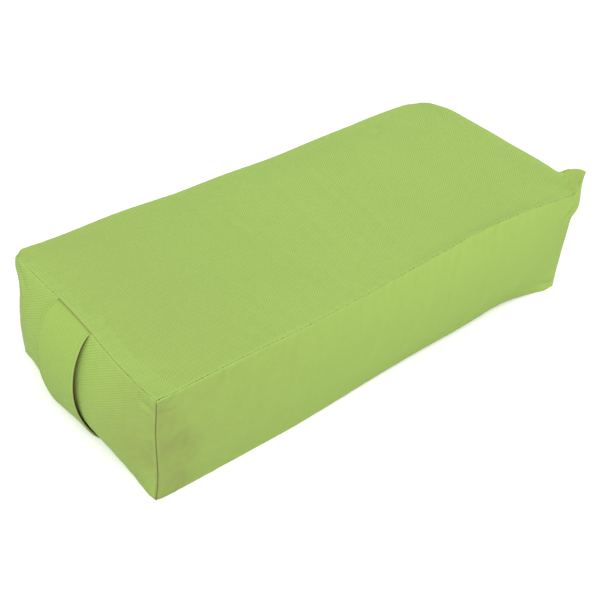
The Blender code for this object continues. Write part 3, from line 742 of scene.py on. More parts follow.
def clothObject(name, panel, thickness, material, dullingAndPaintedLight=None):
    # A closed sheet from a panel's grid, with its flat cut as the UV map
    keep, flip = panel["keep"], panel["flip"]
    used = np.full(keep.shape, -1)
    used[keep] = np.arange(int(keep.sum()))
    mesh = newMesh(name, panel["points"][keep], gridQuads(used, flip))
    raisedA, raisedB = panel["lifted"]
    nearest = np.maximum(0.0, panel["nearest"])
    cutA, cutB = panel["cutA"] + raisedA, panel["cutB"] + raisedB
    writeCut(mesh, np.stack([cutA[keep] * (-1.0 if flip else 1.0), cutB[keep]], -1))
    away = (nearest + raisedA + raisedB)[keep].astype(np.float32)
    marks = 0.0 if dullingAndPaintedLight is None else dullingAndPaintedLight(panel["points"][keep], away)
    writeValues(mesh, "worn", np.exp(-nearest[keep] / sewing["wornReach"]))
    # Below zero it is painted lighter, as painted light on the inside of the ear
    writeValues(mesh, "dullingAndPaintedLight", marks - ramp((raisedA - raisedB)[keep] / sewing["earLightRise"]))
    writeValues(mesh, "seamAway", away)
    writeValues(mesh, "seamRun", panel["seamRun"][keep])
    obj = addObject(name, mesh)
    solidify = obj.modifiers.new("thickness", "SOLIDIFY")
    solidify.thickness = thickness
    solidify.offset = -1.0
    settle(obj)
    finishLook(obj, material)
    return obj


def newMesh(name, points, faces, edges=()):
    mesh = bpy.data.meshes.new(name)
    mesh.from_pydata([tuple(point) for point in points], list(edges), faces)
    return mesh


def writeCut(mesh, cuts):
    # Cloth coordinates of every point, as the UV map that the weave follows
    corner = np.zeros(len(mesh.loops), dtype=np.int32)
    mesh.loops.foreach_get("vertex_index", corner)
    mesh.uv_layers.new(name="cut").data.foreach_set("uv", np.array(cuts, np.float32)[corner].ravel())


def writeValues(mesh, name, values, kind="FLOAT", field="value"):
    layer = mesh.attributes.new(name, kind, "POINT")
    layer.data.foreach_set(field, np.array(values, np.float32).ravel())


def skinRings(name, rings):
    # A closed mesh over a row of rings with the same number of points
    count = len(rings[0])
    last = (len(rings) - 1) * count
    faces = []
    for row in range(0, last, count):
        for spot in range(count):
            following = (spot + 1) % count
            faces.append((row + spot, row + count + spot, row + count + following, row + following))
    faces += [tuple(range(count)), tuple(range(last + count - 1, last - 1, -1))]
    mesh = newMesh(name, [point for ring in rings for point in ring], faces)
    turnOutwards(mesh)
    return mesh


def turnOutwards(mesh, place=None):
    # Closes doubled points where a place is given, and puts the mesh there
    bm = bmesh.new()
    bm.from_mesh(mesh)
    if place is not None:
        bmesh.ops.remove_doubles(bm, verts=bm.verts, dist=1e-6)
        bmesh.ops.transform(bm, matrix=place, verts=bm.verts)
    bmesh.ops.recalc_face_normals(bm, faces=bm.faces)
    bm.to_mesh(mesh)
    bm.free()


def addObject(name, mesh):
    obj = bpy.data.objects.new(name, mesh)
    bpy.context.scene.collection.objects.link(obj)
    return obj


def evaluated(obj):
    bpy.context.view_layer.update()
    return bpy.data.meshes.new_from_object(obj.evaluated_get(bpy.context.evaluated_depsgraph_get()))


def settle(obj):
    # Turns an object with its modifiers into a plain mesh
    made = evaluated(obj)
    obj.modifiers.clear()
    obj.data = made


def finishLook(obj, material, angle=50.0):
    obj.data.materials.clear()
    obj.data.materials.append(material)
    obj.data.shade_smooth()
    obj.data.set_sharp_from_angle(angle=radians(angle))


# Blown-up cover. Cloth physics shows how the empty cover creases when it is filled against its seams.

blowUp = {
    "step": 0.0060,
    "frames": 20,
    "quality": 6,
    "pressure": 4.0,
    "spareCloth": 0.006,
    "tension": 12.0,
    "bending": 0.08,
    "smoothing": 60,
    "strength": 0.60,
    "limit": 0.0020,
    "seamFade": 0.012,
}


def blownCover():
    # Height that the creases add to each side of the box, at even knots
    points, quads, sides = boxGrid(boxLow, boxHigh, blowUp["step"])
    start = stuffedForm(points)
    cover = addObject("blown_cover", newMesh("blown_cover", start, quads))
    edges = ((points <= boxLow + 1e-6) | (points >= boxHigh - 1e-6)).sum(1) >= 2
    cover.vertex_groups.new(name="seams").add([int(spot) for spot in np.flatnonzero(edges)], 1.0, "ADD")
    settings = cover.modifiers.new("cloth", "CLOTH").settings
    settings.quality = blowUp["quality"]
    settings.tension_stiffness = blowUp["tension"]
    settings.compression_stiffness = blowUp["tension"]
    settings.bending_stiffness = blowUp["bending"]
    settings.vertex_group_mass = "seams"
    settings.shrink_min = -blowUp["spareCloth"]
    settings.use_pressure = True
    settings.uniform_pressure_force = blowUp["pressure"]
    settings.effector_weights.gravity = 0.0
    scene = bpy.context.scene
    for frameNumber in range(1, blowUp["frames"] + 1):
        scene.frame_set(frameNumber)
    blown = cover.evaluated_get(bpy.context.evaluated_depsgraph_get()).data
    moved = np.zeros(len(points) * 3, dtype=np.float32)
    blown.vertices.foreach_get("co", moved)
    moved = moved.reshape(-1, 3) - start
    reliefs = {}
    for name, spots in sides.items():
        rise = (moved[spots] * gridNormals(start[spots], isTurned(faces[name]))).sum(-1)
        slow = rise
        for turn in range(blowUp["smoothing"]):
            wide = np.pad(slow, 1, mode="edge")
            slow = (wide[:-2, 1:-1] + wide[2:, 1:-1] + wide[1:-1, :-2] + wide[1:-1, 2:]) / 4
        reliefs[name] = np.clip((rise - slow) * blowUp["strength"], -blowUp["limit"], blowUp["limit"])
        print("creases on the", name, "mm", round(float(reliefs[name].std() * 1000), 2))
    scene.frame_set(1)
    bpy.data.objects.remove(cover)
    return reliefs


# Cover

coverShape = {
    "zipHeight": 0.075,
    "slotHalfLength": 0.257,
    "slotHalfHeight": 0.0068,
    "slotRound": 0.014,
    "slotFade": 0.030,
    "slotEase": 0.00015,
    "strapMiddle": 0.017,
    "strapWidth": 0.067,
    "strapSlant": 0.0187,
    "mouth": 0.0028,
    "mouthFade": 0.012,
    "mouthInside": 0.0010,
    "mouthEdge": 0.0015,
}


def slotHalf(x):
    # Half height of the zip opening at a place along the rear side
    past = (np.abs(x) - (coverShape["slotHalfLength"] - coverShape["slotRound"])) / coverShape["slotRound"]
    return coverShape["slotHalfHeight"] * np.sqrt(np.clip(1.0 - np.clip(past, 0.0, 1.0) ** 2, 0.0, 1.0))


def openForZip(side):
    def bend(x, z, depth):
        away = np.abs(z - coverShape["zipHeight"])
        fade = np.clip(1.0 - away / coverShape["slotFade"], 0.0, 1.0) ** 2
        return x, z + side * (slotHalf(x) + coverShape["slotEase"]) * fade, depth
    return bend


def openForStrap(y, z, depth):
    # The end panel gives way where the strap's two ends come out of its seams
    shape = coverShape
    for seam, middle, turn in ((bolster["height"], shape["strapMiddle"], -1.0),
                               (0.0, shape["strapMiddle"] - shape["strapSlant"], 1.0)):
        beside = np.abs(y - middle) - shape["strapWidth"] / 2 + shape["mouthInside"]
        window = 1.0 - ramp(beside / shape["mouthEdge"])
        z = z + turn * shape["mouth"] * window * np.exp(-np.abs(z - seam) / shape["mouthFade"])
    return y, z, depth


def cornerFolds(folds):
    # Short creases: from, to, depth and width, in cloth coordinates
    def detail(a, b):
        height = np.zeros_like(a)
        for fold in folds:
            start, end = np.array(fold["from"]), np.array(fold["to"])
            run = end - start
            length = np.linalg.norm(run)
            run = run / length
            along = (a - start[0]) * run[0] + (b - start[1]) * run[1]
            beside = -(a - start[0]) * run[1] + (b - start[1]) * run[0]
            reach = np.exp(-(np.maximum(0.0, np.maximum(-along, along - length)) / (length * 0.35)) ** 2)
            taper = np.sin(pi * np.clip(along / length, 0.0, 1.0)) ** 0.5 * reach
            width = fold["width"]
            groove = -np.exp(-(beside / width) ** 2)
            ridge = 0.55 * np.exp(-((np.abs(beside) - 2.0 * width) / (1.2 * width)) ** 2)
            height += fold["depth"] * taper * (groove + ridge)
        return height
    return detail


frontFolds = (
    {"from": (-0.322, 0.132), "to": (-0.303, 0.128), "depth": 0.0012, "width": 0.0026},
    {"from": (0.302, 0.112), "to": (0.323, 0.136), "depth": 0.0016, "width": 0.0040},
    {"from": (0.285, 0.020), "to": (0.322, 0.006), "depth": 0.0014, "width": 0.0045},
)
handleFolds = (
    {"from": (-0.138, 0.134), "to": (-0.112, 0.136), "depth": 0.0014, "width": 0.0028},
    {"from": (0.105, 0.125), "to": (0.137, 0.140), "depth": 0.0014, "width": 0.0045},
)


# Where the cover is darker: how much, and how far that reaches from the near upright seam. The line along
# that seam and the end panel under the strap are painted shade
darkening = {
    "front": 0.30,
    "frontReach": 0.200,
    "patch": 0.36,
    "patchFoot": 0.030,
    "patchTop": 0.004,
    "patchFrom": 0.080,
    "patchTaper": 0.045,
    "patchFade": 0.035,
    "end": 0.58,
    "endReach": 0.068,
    "endMiddle": 0.080,
    "endHeight": 0.070,
    "mottle": 0.35,
    "mottleLengths": ((0.030, 31), (0.009, 33)),
    "sideTop": 0.1495,
    "seamShade": 1.68,
    "seamWidth": 0.0015,
    "seamReach": 0.012,
    "seamTop": 0.149,
    "top": 0.14,
    "topFrom": 0.05,
    "topFade": 0.30,
    "topAbove": 0.152,
    "underStrapShade": 0.80,
    "strapEdge": 0.0030,
    "endFace": -0.3262,
}


def coverDarkening(points, nearest):
    # Cloth beside the near upright seam is a little duller, as is the top towards that end; a thin line along
    # that seam and the end panel under the strap are painted darker, as painted shade
    darken = darkening
    x, y, z = points[:, 0] - boxLow[0], points[:, 1] - boxLow[1], points[:, 2]
    away = np.maximum(0.0, x) + np.maximum(0.0, y)
    narrowing = ramp((z - darken["patchFrom"]) / darken["patchTaper"])
    patch = darken["patchFoot"] + (darken["patchTop"] - darken["patchFoot"]) * narrowing
    onFront = darken["front"] * np.exp(-(away / darken["frontReach"]) ** 2)
    onFront += darken["patch"] * (1.0 - ramp((away - patch) / darken["patchFade"]))
    onEnd = darken["end"] * np.exp(-(away / darken["endReach"]) ** 2)
    onEnd *= np.exp(-((z - darken["endMiddle"]) / darken["endHeight"]) ** 2)
    mottled = [softNoise(points, length, seed) for length, seed in darken["mottleLengths"]]
    patchy = 1.0 + darken["mottle"] * sum(mottled)
    onSide = np.where(y > np.maximum(0.0005, x), onEnd, onFront)
    darkened = np.clip(onSide * patchy * (z < darken["sideTop"]), 0.0, 1.0)
    # A thin line along the near upright seam is painted dark, as painted shade in its groove
    line = darken["seamShade"] * np.exp(-(nearest / darken["seamWidth"]) ** 2)
    darkened = np.maximum(darkened, line * (away < darken["seamReach"]) * (z < darken["seamTop"]))
    onTop = darken["top"] * (1.0 - ramp((x - darken["topFrom"]) / darken["topFade"]))
    darkened = np.maximum(darkened, onTop * (z > darken["topAbove"]))
    # The end panel under the strap is painted darker, as painted shade
    middle = coverShape["strapMiddle"] - coverShape["strapSlant"] * (1.0 - z / bolster["height"])
    covered = coverShape["strapWidth"] / 2 - np.abs(points[:, 1] - middle)
    shadeUnderStrap = darken["underStrapShade"] * ramp(covered / darken["strapEdge"])
    return np.where(points[:, 0] < darken["endFace"], np.maximum(darkened, shadeUnderStrap), darkened)


creases = blownCover()
print("cover blown up")
twill = wovenCloth("coverTwill", coverTwill)
brushedTwill = wovenCloth("sideTwill", sideTwill)
upperLow = np.array([boxLow[0], boxLow[1], coverShape["zipHeight"]])
lowerHigh = np.array([boxHigh[0], boxHigh[1], coverShape["zipHeight"]])
upperKinds = ("seam", "seam", "fold", "seam")
lowerKinds = ("seam", "seam", "seam", "fold")
coverSides = {
    "cover_top_panel": "top",
    "cover_bottom_panel": "bottom",
    "cover_front_panel": "front",
    "cover_handle_end_panel": "handle",
    "cover_plain_end_panel": "plain",
    "cover_rear_upper_strip": "rear",
    "cover_rear_lower_strip": "rear",
}
coverWork = {
    "cover_front_panel": {"detail": cornerFolds(frontFolds)},
    "cover_handle_end_panel": {"detail": cornerFolds(handleFolds), "bend": openForStrap},
    "cover_rear_upper_strip": {"low": upperLow, "kinds": upperKinds, "bend": openForZip(1)},
    "cover_rear_lower_strip": {"high": lowerHigh, "kinds": lowerKinds, "bend": openForZip(-1)},
}
for node, side in coverSides.items():
    relief = None if side == "rear" else creases[side]
    cloth = twill if side in ("top", "bottom") else brushedTwill
    panel = sewnPanel(node, faces[side], relief=relief, **coverWork.get(node, {}))
    piece = clothObject(node.replace("cover_", "sewn_"), panel, sewing["cloth"], cloth, coverDarkening)
    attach(piece, "cushion")
    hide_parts(node)
print("cover sewn")


# Carry strap: the twill folded to a flat band, stitched along both edges

# The strap's skew and fullness at its two edges came from a fit to the photo too
strapShape = {
    "width": 0.067,
    "middle": 0.017,
    "thickness": 0.0026,
    "edgePower": 26,
    "slant": 0.0187,
    "bulge": (0.0287, 0.0332),
    "skew": (0.94, 0.87),
    "fullness": (0.70, 0.50),
    "tuck": 0.0080,
    "tuckShare": 0.05,
    "tuckDrop": 0.35,
    "seamDepth": 0.0023,
    "pressed": 0.36,
    "pressedReach": 0.05,
    "stitchInset": 0.0040,
    "stitchSink": 0.00022,
    "stitchGroove": 0.0010,
    "ripple": 0.00035,
    "rippleScale": (5.0, 1.3),
    "wornReach": 0.0012,
    "toned": 0.9,
    "tonedEdge": 0.985,
    "inside": (-0.05, -0.03, -0.015),
    "alongSteps": 96,
    "acrossSteps": 34,
}


@lru_cache(maxsize=None)
def strapEnds(y):
    half, height = bolster["length"] / 2, bolster["height"]
    top = stuffedForm(np.array([-half, y, height - strapShape["seamDepth"]]))
    foot = stuffedForm(np.array([-half, y - strapShape["slant"], strapShape["seamDepth"]]))
    return top, foot


def strapMiddleLine(part, y):
    # Middle of the strap's thickness from the top seam, part 0, to the bottom seam, part 1
    shape = strapShape
    top, foot = strapEnds(y)
    past = max(-part, part - 1.0) * shape["tuck"] / shape["tuckShare"]
    if part <= 0.0:
        return np.array([top[0] + past, y, top[2] - past * shape["tuckDrop"]])
    if part >= 1.0:
        return np.array([foot[0] + past, y - shape["slant"], foot[2] + past * shape["tuckDrop"]])
    across = (y - shape["middle"]) / shape["width"] + 0.5
    bulge, skew, fullness = (ends[0] + (ends[1] - ends[0]) * across
                             for ends in (shape["bulge"], shape["skew"], shape["fullness"]))
    out = bulge * sin(pi * part ** skew) ** fullness
    return np.array([top[0] - out, y - shape["slant"] * part, top[2] + (foot[2] - top[2]) * part])


def strapSurface(part, across, side):
    # Point on one face of the strap: across runs -1 to 1, side is 1 outside and -1 towards the end panel
    shape = strapShape
    y = shape["middle"] + across * shape["width"] / 2
    step = 0.003
    run = strapMiddleLine(part + step, y) - strapMiddleLine(part - step, y)
    outward = np.array([run[2], 0.0, -run[0]]) / max(1e-9, sqrt(run[0] ** 2 + run[2] ** 2))
    fromEdge = (1.0 - abs(across)) * shape["width"] / 2
    thick = shape["thickness"] / 2 * max(0.0, 1.0 - abs(across) ** shape["edgePower"]) ** 0.5
    thick *= 1.0 - shape["pressed"] * (np.exp(-max(0.0, part) / shape["pressedReach"])
                                       + np.exp(-max(0.0, 1.0 - part) / shape["pressedReach"]))
    thick -= shape["stitchSink"] * np.exp(-((fromEdge - shape["stitchInset"]) / shape["stitchGroove"]) ** 2)
    along, wide = shape["rippleScale"]
    wave = noise.noise(Vector((part * along, across * wide, 2.7))) * shape["ripple"]
    wave *= sin(pi * np.clip(part, 0.0, 1.0))
    return strapMiddleLine(part, y) + outward * (side * thick + wave), outward * side


def strapStations():
    steps = strapShape["alongSteps"]
    inside = list(strapShape["inside"])
    outside = [(1.0 - cos(pi * step / steps)) / 2 for step in range(steps + 1)]
    return inside + outside + [1.0 - part for part in inside[::-1]]


def carryStrap(material):
    shape = strapShape
    parts = strapStations()
    steps = shape["acrossSteps"]
    across = [-cos(pi * step / steps) for step in range(steps + 1)]
    ring = [(place, 1) for place in across] + [(place, -1) for place in across[-2:0:-1]]
    middles = [strapMiddleLine(part, shape["middle"]) for part in parts]
    travel = [0.0]
    for before, after in zip(middles, middles[1:]):
        travel.append(travel[-1] + float(np.linalg.norm(after - before)))
    rings = [[strapSurface(part, place, side)[0] for place, side in ring] for part in parts]
    cuts = [(run, side * place * shape["width"] / 2 + (0.0 if side > 0 else 0.1))
            for run in travel for place, side in ring]
    mesh = skinRings("carry_strap_band", rings)
    writeCut(mesh, cuts)
    worn = [float(np.exp(-(1.0 - abs(place)) * shape["width"] / 2 / shape["wornReach"]))
            for place, side in ring]
    # The strap's edges and its inner face towards the end panel are painted darker and browner; on the inner
    # face, which lies in the gap's shade, this is painted shade
    toned = [shape["toned"] if side < 0 or abs(place) > shape["tonedEdge"] else 0.0
              for place, side in ring]
    writeValues(mesh, "worn", worn * len(parts))
    writeValues(mesh, "dullingAndPaintedLight", toned * len(parts))
    writeValues(mesh, "seamAway", [1.0] * len(cuts))
    obj = addObject("carry_strap_band", mesh)
    finishLook(obj, material)
    return obj, travel[-1]


strap, strapLength = carryStrap(wovenCloth("strapTwill", strapTwill))
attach(strap, "cushion")
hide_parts("carry_strap")
print("strap sewn in, length", round(strapLength, 3))


# Zip

zipShape = {
    "height": 0.075,
    "planeY": 0.1442,
    "pitch": 0.0040,
    "teethASide": 120,
    "firstTooth": {"upper": 0.25, "lower": 0.75},
    "chainHalfLength": 0.240,
    "chainThickness": 0.0024,
    "headReach": 0.00088,
    "headHalf": 0.00084,
    "headTaper": 0.96,
    "neckHalf": 0.00056,
    "neckFrom": (-0.0001, 0.0008),
    "rootHalf": 0.00115,
    "rootNear": 0.00160,
    "rootShoulder": 0.00190,
    "rootFar": 0.00330,
    "rootTaper": 0.8,
    "toothMiddle": 0.0011,
    "toothCrown": 0.80,
    "toothFlat": 0.62,
    "stopsEnd": 0.2465,
}
tapeShape = {
    "near": 0.0019,
    "far": 0.0170,
    "halfLength": 0.2660,
    "thickness": 0.00055,
    "outerY": 0.1385,
    "longSteps": 223,
    "beadSteps": (0.0034, 7),
    "flatSteps": (0.0042, 14),
    "closeOver": 0.006,
    "closedNear": 0.0001,
    "bead": 0.00045,
    "beadAt": 0.0024,
    "beadWidth": 0.00055,
    "wave": 0.00008,
    "waveLength": 0.0019,
    "waveFade": 0.004,
}

zipTapeWeave = dict(
    calico, colour=(0.345, 0.505, 0.125), valleyShade=0.78, warpPitch=0.00055, weftPitch=0.00042, floatLength=3,
    bump=0.00016, roughness=0.80, sheen=0.08, cloud=0.02, stitchMark=0.00001)


def mouldedPlastic(name, colour):
    material, tree, shader, where = newMaterial(name, 0.42)
    flow = noiseAt(tree, where, 140.0, 2.0)
    grain = noiseAt(tree, where, 3200.0, 1.0)
    feed(tree, shader, "Base Color", mixColour(tree, flow, tint(colour, 0.86), tint(colour, 1.08)))
    feed(tree, shader, "Roughness", 0.34 + flow * 0.14)
    emboss(tree, shader, 0.4, 0.00005, grain)
    return material


def platedMetal(name):
    # Nickel plate over a pressing: fine brushing, and duller in random patches
    material, tree, shader, where = newMaterial(name, 0.28, metallic=1.0)
    drawn = tree.node("ShaderNodeMapping", {}, {"Vector": where, "Scale": (60.0, 1800.0, 1800.0)})
    brush = noiseAt(tree, drawn, 1.0, 3.0)
    smear = noiseAt(tree, where, 260.0, 2.0)
    plate = mixColour(tree, smear, (0.60, 0.60, 0.585, 1.0), (0.74, 0.74, 0.725, 1.0))
    feed(tree, shader, "Base Color", plate)
    feed(tree, shader, "Roughness", 0.20 + smear * 0.16 + brush * 0.10)
    emboss(tree, shader, 0.25, 0.00004, brush)
    return material


def zipTape(name, side, material):
    shape = tapeShape
    x = np.linspace(-shape["halfLength"], shape["halfLength"], shape["longSteps"])
    z = np.concatenate([np.linspace(shape["near"], *shape["beadSteps"]),
                        np.linspace(shape["flatSteps"][0], shape["far"], shape["flatSteps"][1])])
    gridX, gridZ = np.meshgrid(x, z, indexing="ij")
    past = ramp((np.abs(gridX) - zipShape["stopsEnd"]) / shape["closeOver"])
    gridZ = gridZ - past * (shape["near"] - shape["closedNear"]) * (1.0 - gridZ / shape["far"])
    bead = shape["bead"] * np.exp(-((gridZ - shape["beadAt"]) / shape["beadWidth"]) ** 2)
    fade = np.clip((gridZ - shape["waveFade"]) / shape["waveFade"], 0.0, 1.0)
    wave = shape["wave"] * np.sin(gridX / shape["waveLength"]) * fade
    points = np.stack([gridX, np.full_like(gridX, shape["outerY"]), zipShape["height"] + side * gridZ], -1)
    points = stuffedForm(points)
    points[..., 1] += bead + wave
    panel = {
        "points": points,
        "cutA": gridX,
        "cutB": gridZ,
        "keep": np.ones(gridX.shape, dtype=bool),
        "flip": side > 0,
        "nearest": gridZ + 0.02,
        "seamRun": gridX,
        "lifted": (np.zeros(gridX.shape), np.zeros(gridX.shape)),
    }
    return clothObject(name, panel, shape["thickness"], material)


def toothShape():
    # One moulded tooth: a head that locks between two of the other row, a neck, and a root on the tape
    shape = zipShape
    headEnd, neckStart = shape["neckFrom"]
    side = [
        (shape["headHalf"], -shape["headReach"]),
        (shape["headHalf"] * shape["headTaper"], headEnd),
        (shape["neckHalf"], neckStart),
        (shape["neckHalf"], shape["rootNear"]),
        (shape["rootHalf"], shape["rootShoulder"]),
        (shape["rootHalf"] * shape["rootTaper"], shape["rootFar"]),
    ]
    outline = [(-x, z) for x, z in side[:1]] + side + [(-x, z) for x, z in side[:0:-1]]
    half, crown, centre = shape["chainThickness"] / 2, shape["toothCrown"], shape["toothMiddle"]
    flat = half * shape["toothFlat"]
    rings = []
    for level, wide, high in ((-half, crown, 0.9 + 0.1 * crown), (-flat, 1.0, 1.0), (flat, 1.0, 1.0),
                              (half, crown, 0.9 + 0.1 * crown)):
        rings.append([(x * wide, level, centre + (z - centre) * high) for x, z in outline])
    return addObject("tooth_pattern", skinRings("tooth_pattern", rings))


def newGeometryTree(name, sockets):
    # A geometry tree with its named inputs, and the link that each one gives
    group = bpy.data.node_groups.new(name, "GeometryNodeTree")
    for title, kind in sockets:
        group.interface.new_socket(title, in_out="INPUT", socket_type=kind)
    group.interface.new_socket("Geometry", in_out="OUTPUT", socket_type="NodeSocketGeometry")
    tree = NodeTree(group)
    start = group.nodes.new("NodeGroupInput")
    return tree, {title: Link(tree, start.outputs[title]) for title, kind in sockets}


def closeGeometryTree(tree, geometry, material):
    whole = tree.node("GeometryNodeRealizeInstances", {}, {"Geometry": geometry})
    painted = tree.node("GeometryNodeSetMaterial", {}, {"Geometry": whole, "Material": material})
    end = tree.tree.nodes.new("NodeGroupOutput")
    tree.tree.links.new(painted.socket, end.inputs[0])


def runTree(name, mesh, tree, inputs):
    # Runs a geometry tree on a mesh and keeps the plain mesh that it makes
    obj = addObject(name, mesh)
    modifier = obj.modifiers.new("made", "NODES")
    modifier.node_group = tree.tree
    for item in tree.tree.interface.items_tree:
        if item.in_out == "INPUT" and item.name in inputs:
            modifier[item.identifier] = inputs[item.name]
    settle(obj)
    return obj


def teethTree():
    # A row of teeth at an even pitch along X
    tree, given = newGeometryTree("teeth row", (
        ("Geometry", "NodeSocketGeometry"), ("Tooth", "NodeSocketObject"), ("Count", "NodeSocketInt"),
        ("Pitch", "NodeSocketFloat"), ("Start", "NodeSocketVector"), ("Turn", "NodeSocketRotation"),
        ("Material", "NodeSocketMaterial")))
    stride = tree.node("ShaderNodeCombineXYZ", {}, {"X": given["Pitch"]})
    line = tree.node("GeometryNodeMeshLine", {"mode": "OFFSET"},
                     {"Count": given["Count"], "Start Location": given["Start"], "Offset": stride})
    tooth = tree.node("GeometryNodeObjectInfo", {}, {"Object": given["Tooth"]}, "Geometry")
    teeth = tree.node("GeometryNodeInstanceOnPoints", {},
                      {"Points": line, "Instance": tooth, "Rotation": given["Turn"]})
    closeGeometryTree(tree, teeth, given["Material"])
    return tree


def zipTeeth():
    shape = zipShape
    plastic = mouldedPlastic("teethPlastic", (0.300, 0.450, 0.110))
    tooth = toothShape()
    tree = teethTree()
    for name, side in (("upper", 1), ("lower", -1)):
        first = -shape["chainHalfLength"] + shape["pitch"] * shape["firstTooth"][name]
        row = runTree("zip_teeth_row_" + name, bpy.data.meshes.new("zip_teeth_row_" + name), tree, {
            "Tooth": tooth,
            "Count": shape["teethASide"],
            "Pitch": shape["pitch"],
            "Start": (first, shape["planeY"], shape["height"]),
            "Turn": (0.0, 0.0 if side > 0 else pi, 0.0),
            "Material": plastic,
        })
        row.data.shade_smooth()
        row.data.set_sharp_from_angle(angle=radians(35.0))
        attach(row, "cushion")
        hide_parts("zip_teeth_" + name)
    bpy.data.objects.remove(tooth)


tapeCloth = wovenCloth("zipTapeWeave", zipTapeWeave)
for name, side in (("upper", 1), ("lower", -1)):
    tape = zipTape("zip_tape_woven_" + name, side, tapeCloth)
    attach(tape, "cushion")
    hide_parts("zip_tape_" + name)
    "zip_teeth_row_" + name
zipTeeth()
metal = platedMetal("platedMetal")
for node in ("zip_bottom_stop", "zip_top_stop_upper", "zip_top_stop_lower"):
    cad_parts[node].data.materials.clear()
    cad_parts[node].data.materials.append(metal)
print("zip set in")


# Slider and pull tab

sliderShape = {
    "rearX": 0.2348,
    "length": 0.0115,
    "rearHalf": 0.0040,
    "frontHalf": 0.0056,
    "neck": 0.0048,
    "shoulder": 0.0078,
    "plate": 0.0010,
    "channel": 0.0031,
    "flange": 0.0007,
    "flangeDrop": 0.0009,
    "flangeFrom": 0.8,
    "flangeSunk": 0.6,
    "flangeRounding": 0.00012,
    "diamondRounding": 0.0001,
    "diamondLength": 0.0040,
    "diamondHalf": 0.0012,
    "diamondX": 0.2434,
    "bailWire": 0.0006,
    "bailHalfSpan": 0.0034,
    "bailClear": 0.0019,
    "bailCorner": 0.0012,
    "bailSteps": 6,
    "rounding": 0.00028,
}

tabShape = {
    "axisX": 0.24055,
    "axisY": 0.1477,
    "length": 0.0260,
    "endHalf": 0.0030,
    "gripHalf": 0.0040,
    "thickness": 0.0012,
    "holeLength": 0.0056,
    "holeHalf": 0.0018,
    "gripStart": 0.0086,
    "eyeRadius": 0.0017,
    "eyeFromEnd": 0.0042,
    "eyeSteps": 28,
    "rounding": 0.00022,
}


def rounded(points, cuts=2):
    # Cuts the corners of a closed outline, twice over, so that it runs in curves
    for turn in range(cuts):
        smoothed = []
        for here, after in zip(points, points[1:] + points[:1]):
            for share in (0.75, 0.25):
                smoothed.append((here[0] * share + after[0] * (1.0 - share),
                                 here[1] * share + after[1] * (1.0 - share)))
        points = smoothed
    return points


def mirrored(side):
    # A whole outline from its upper half
    return side + [(x, -z) for x, z in reversed(side)]


def curveSolid(name, curve, loops, closed, place):
    # A closed mesh over the outlines or the route of a curve, with the curve's own bevel
    for loop in loops:
        spline = curve.splines.new("POLY")
        spline.points.add(len(loop) - 1)
        for spot, point in zip(spline.points, loop):
            spot.co = (*point, 1.0)
        spline.use_cyclic_u = closed
    outline = addObject(name + "_outline", curve)
    mesh = evaluated(outline)
    bpy.data.objects.remove(outline)
    mesh.name = name
    turnOutwards(mesh, place)
    return addObject(name, mesh)


def pressedPlate(name, loops, thickness, rounding, place):
    # A flat pressing in X and Z from its outlines, with its edges rounded
    curve = bpy.data.curves.new(name, "CURVE")
    curve.dimensions = "2D"
    curve.fill_mode = "BOTH"
    curve.bevel_depth = rounding
    curve.bevel_resolution = 2
    curve.offset = -rounding
    curve.extrude = thickness / 2 - rounding
    flat = [[(x, z, 0.0) for x, z in loop] for loop in loops]
    return curveSolid(name, curve, flat, True, Matrix.Translation(place) @ Matrix.Rotation(pi / 2, 4, "X"))


def joinOn(body, other, operation="UNION"):
    boolean = body.modifiers.new("join", "BOOLEAN")
    boolean.operation = operation
    boolean.solver = "EXACT"
    boolean.object = other
    settle(body)
    bpy.data.objects.remove(other)


def sliderPlateOutline():
    shape = sliderShape
    rear, front, length = shape["rearHalf"], shape["frontHalf"], shape["length"]
    side = [
        (0.0, rear * 0.55),
        (0.0, rear * 0.86),
        (0.0007, rear),
        (0.0026, rear),
        (shape["neck"], rear),
        (0.0063, (rear + front) / 2),
        (shape["shoulder"], front),
        (0.0090, front),
        (length - 0.0007, front * 0.96),
        (length, front * 0.78),
        (length, front * 0.45),
        (length - 0.0009, 0.0008),
    ]
    return rounded(mirrored(side), 1)


def zipSlider():
    shape = sliderShape
    centre = Vector((shape["rearX"], zipShape["planeY"], zipShape["height"]))
    lift = Vector((0.0, shape["channel"] / 2 + shape["plate"] / 2, 0.0))
    outline = sliderPlateOutline()
    body = pressedPlate("slider_body_pressing", [outline], shape["plate"], shape["rounding"], centre + lift)
    joinOn(body, pressedPlate("slider_back", [outline], shape["plate"], shape["rounding"], centre - lift))

    # Flanges along both sides of both plates keep the rows in
    drop = shape["flangeDrop"] + shape["plate"] * shape["flangeSunk"]
    reach = shape["channel"] / 2 - shape["flangeDrop"] + drop / 2
    for side in (-1, 1):
        for face in (-1, 1):
            wall = [(x, z * side) for x, z in outline if z > shape["rearHalf"] * shape["flangeFrom"]]
            inner = [(x, z * (1.0 - shape["flange"] / shape["rearHalf"])) for x, z in reversed(wall)]
            flange = pressedPlate("slider_flange", [wall + inner], drop, shape["flangeRounding"],
                                  centre + Vector((0.0, face * reach, 0.0)))
            joinOn(body, flange)
    middle = shape["diamondX"] - shape["rearX"]
    point, *rest = [(middle + along * shape["diamondLength"], share * shape["diamondHalf"])
                    for along, share in ((-0.5, 0.0), (-0.1, 0.7), (0.2, 1.0), (0.5, 0.6))]
    diamond = [point] + mirrored(rest)
    depth = shape["channel"] + shape["plate"]
    joinOn(body, pressedPlate("slider_diamond", [diamond], depth, shape["diamondRounding"], centre))
    joinOn(body, bail(centre))
    finishLook(body, metal, 32.0)
    return body


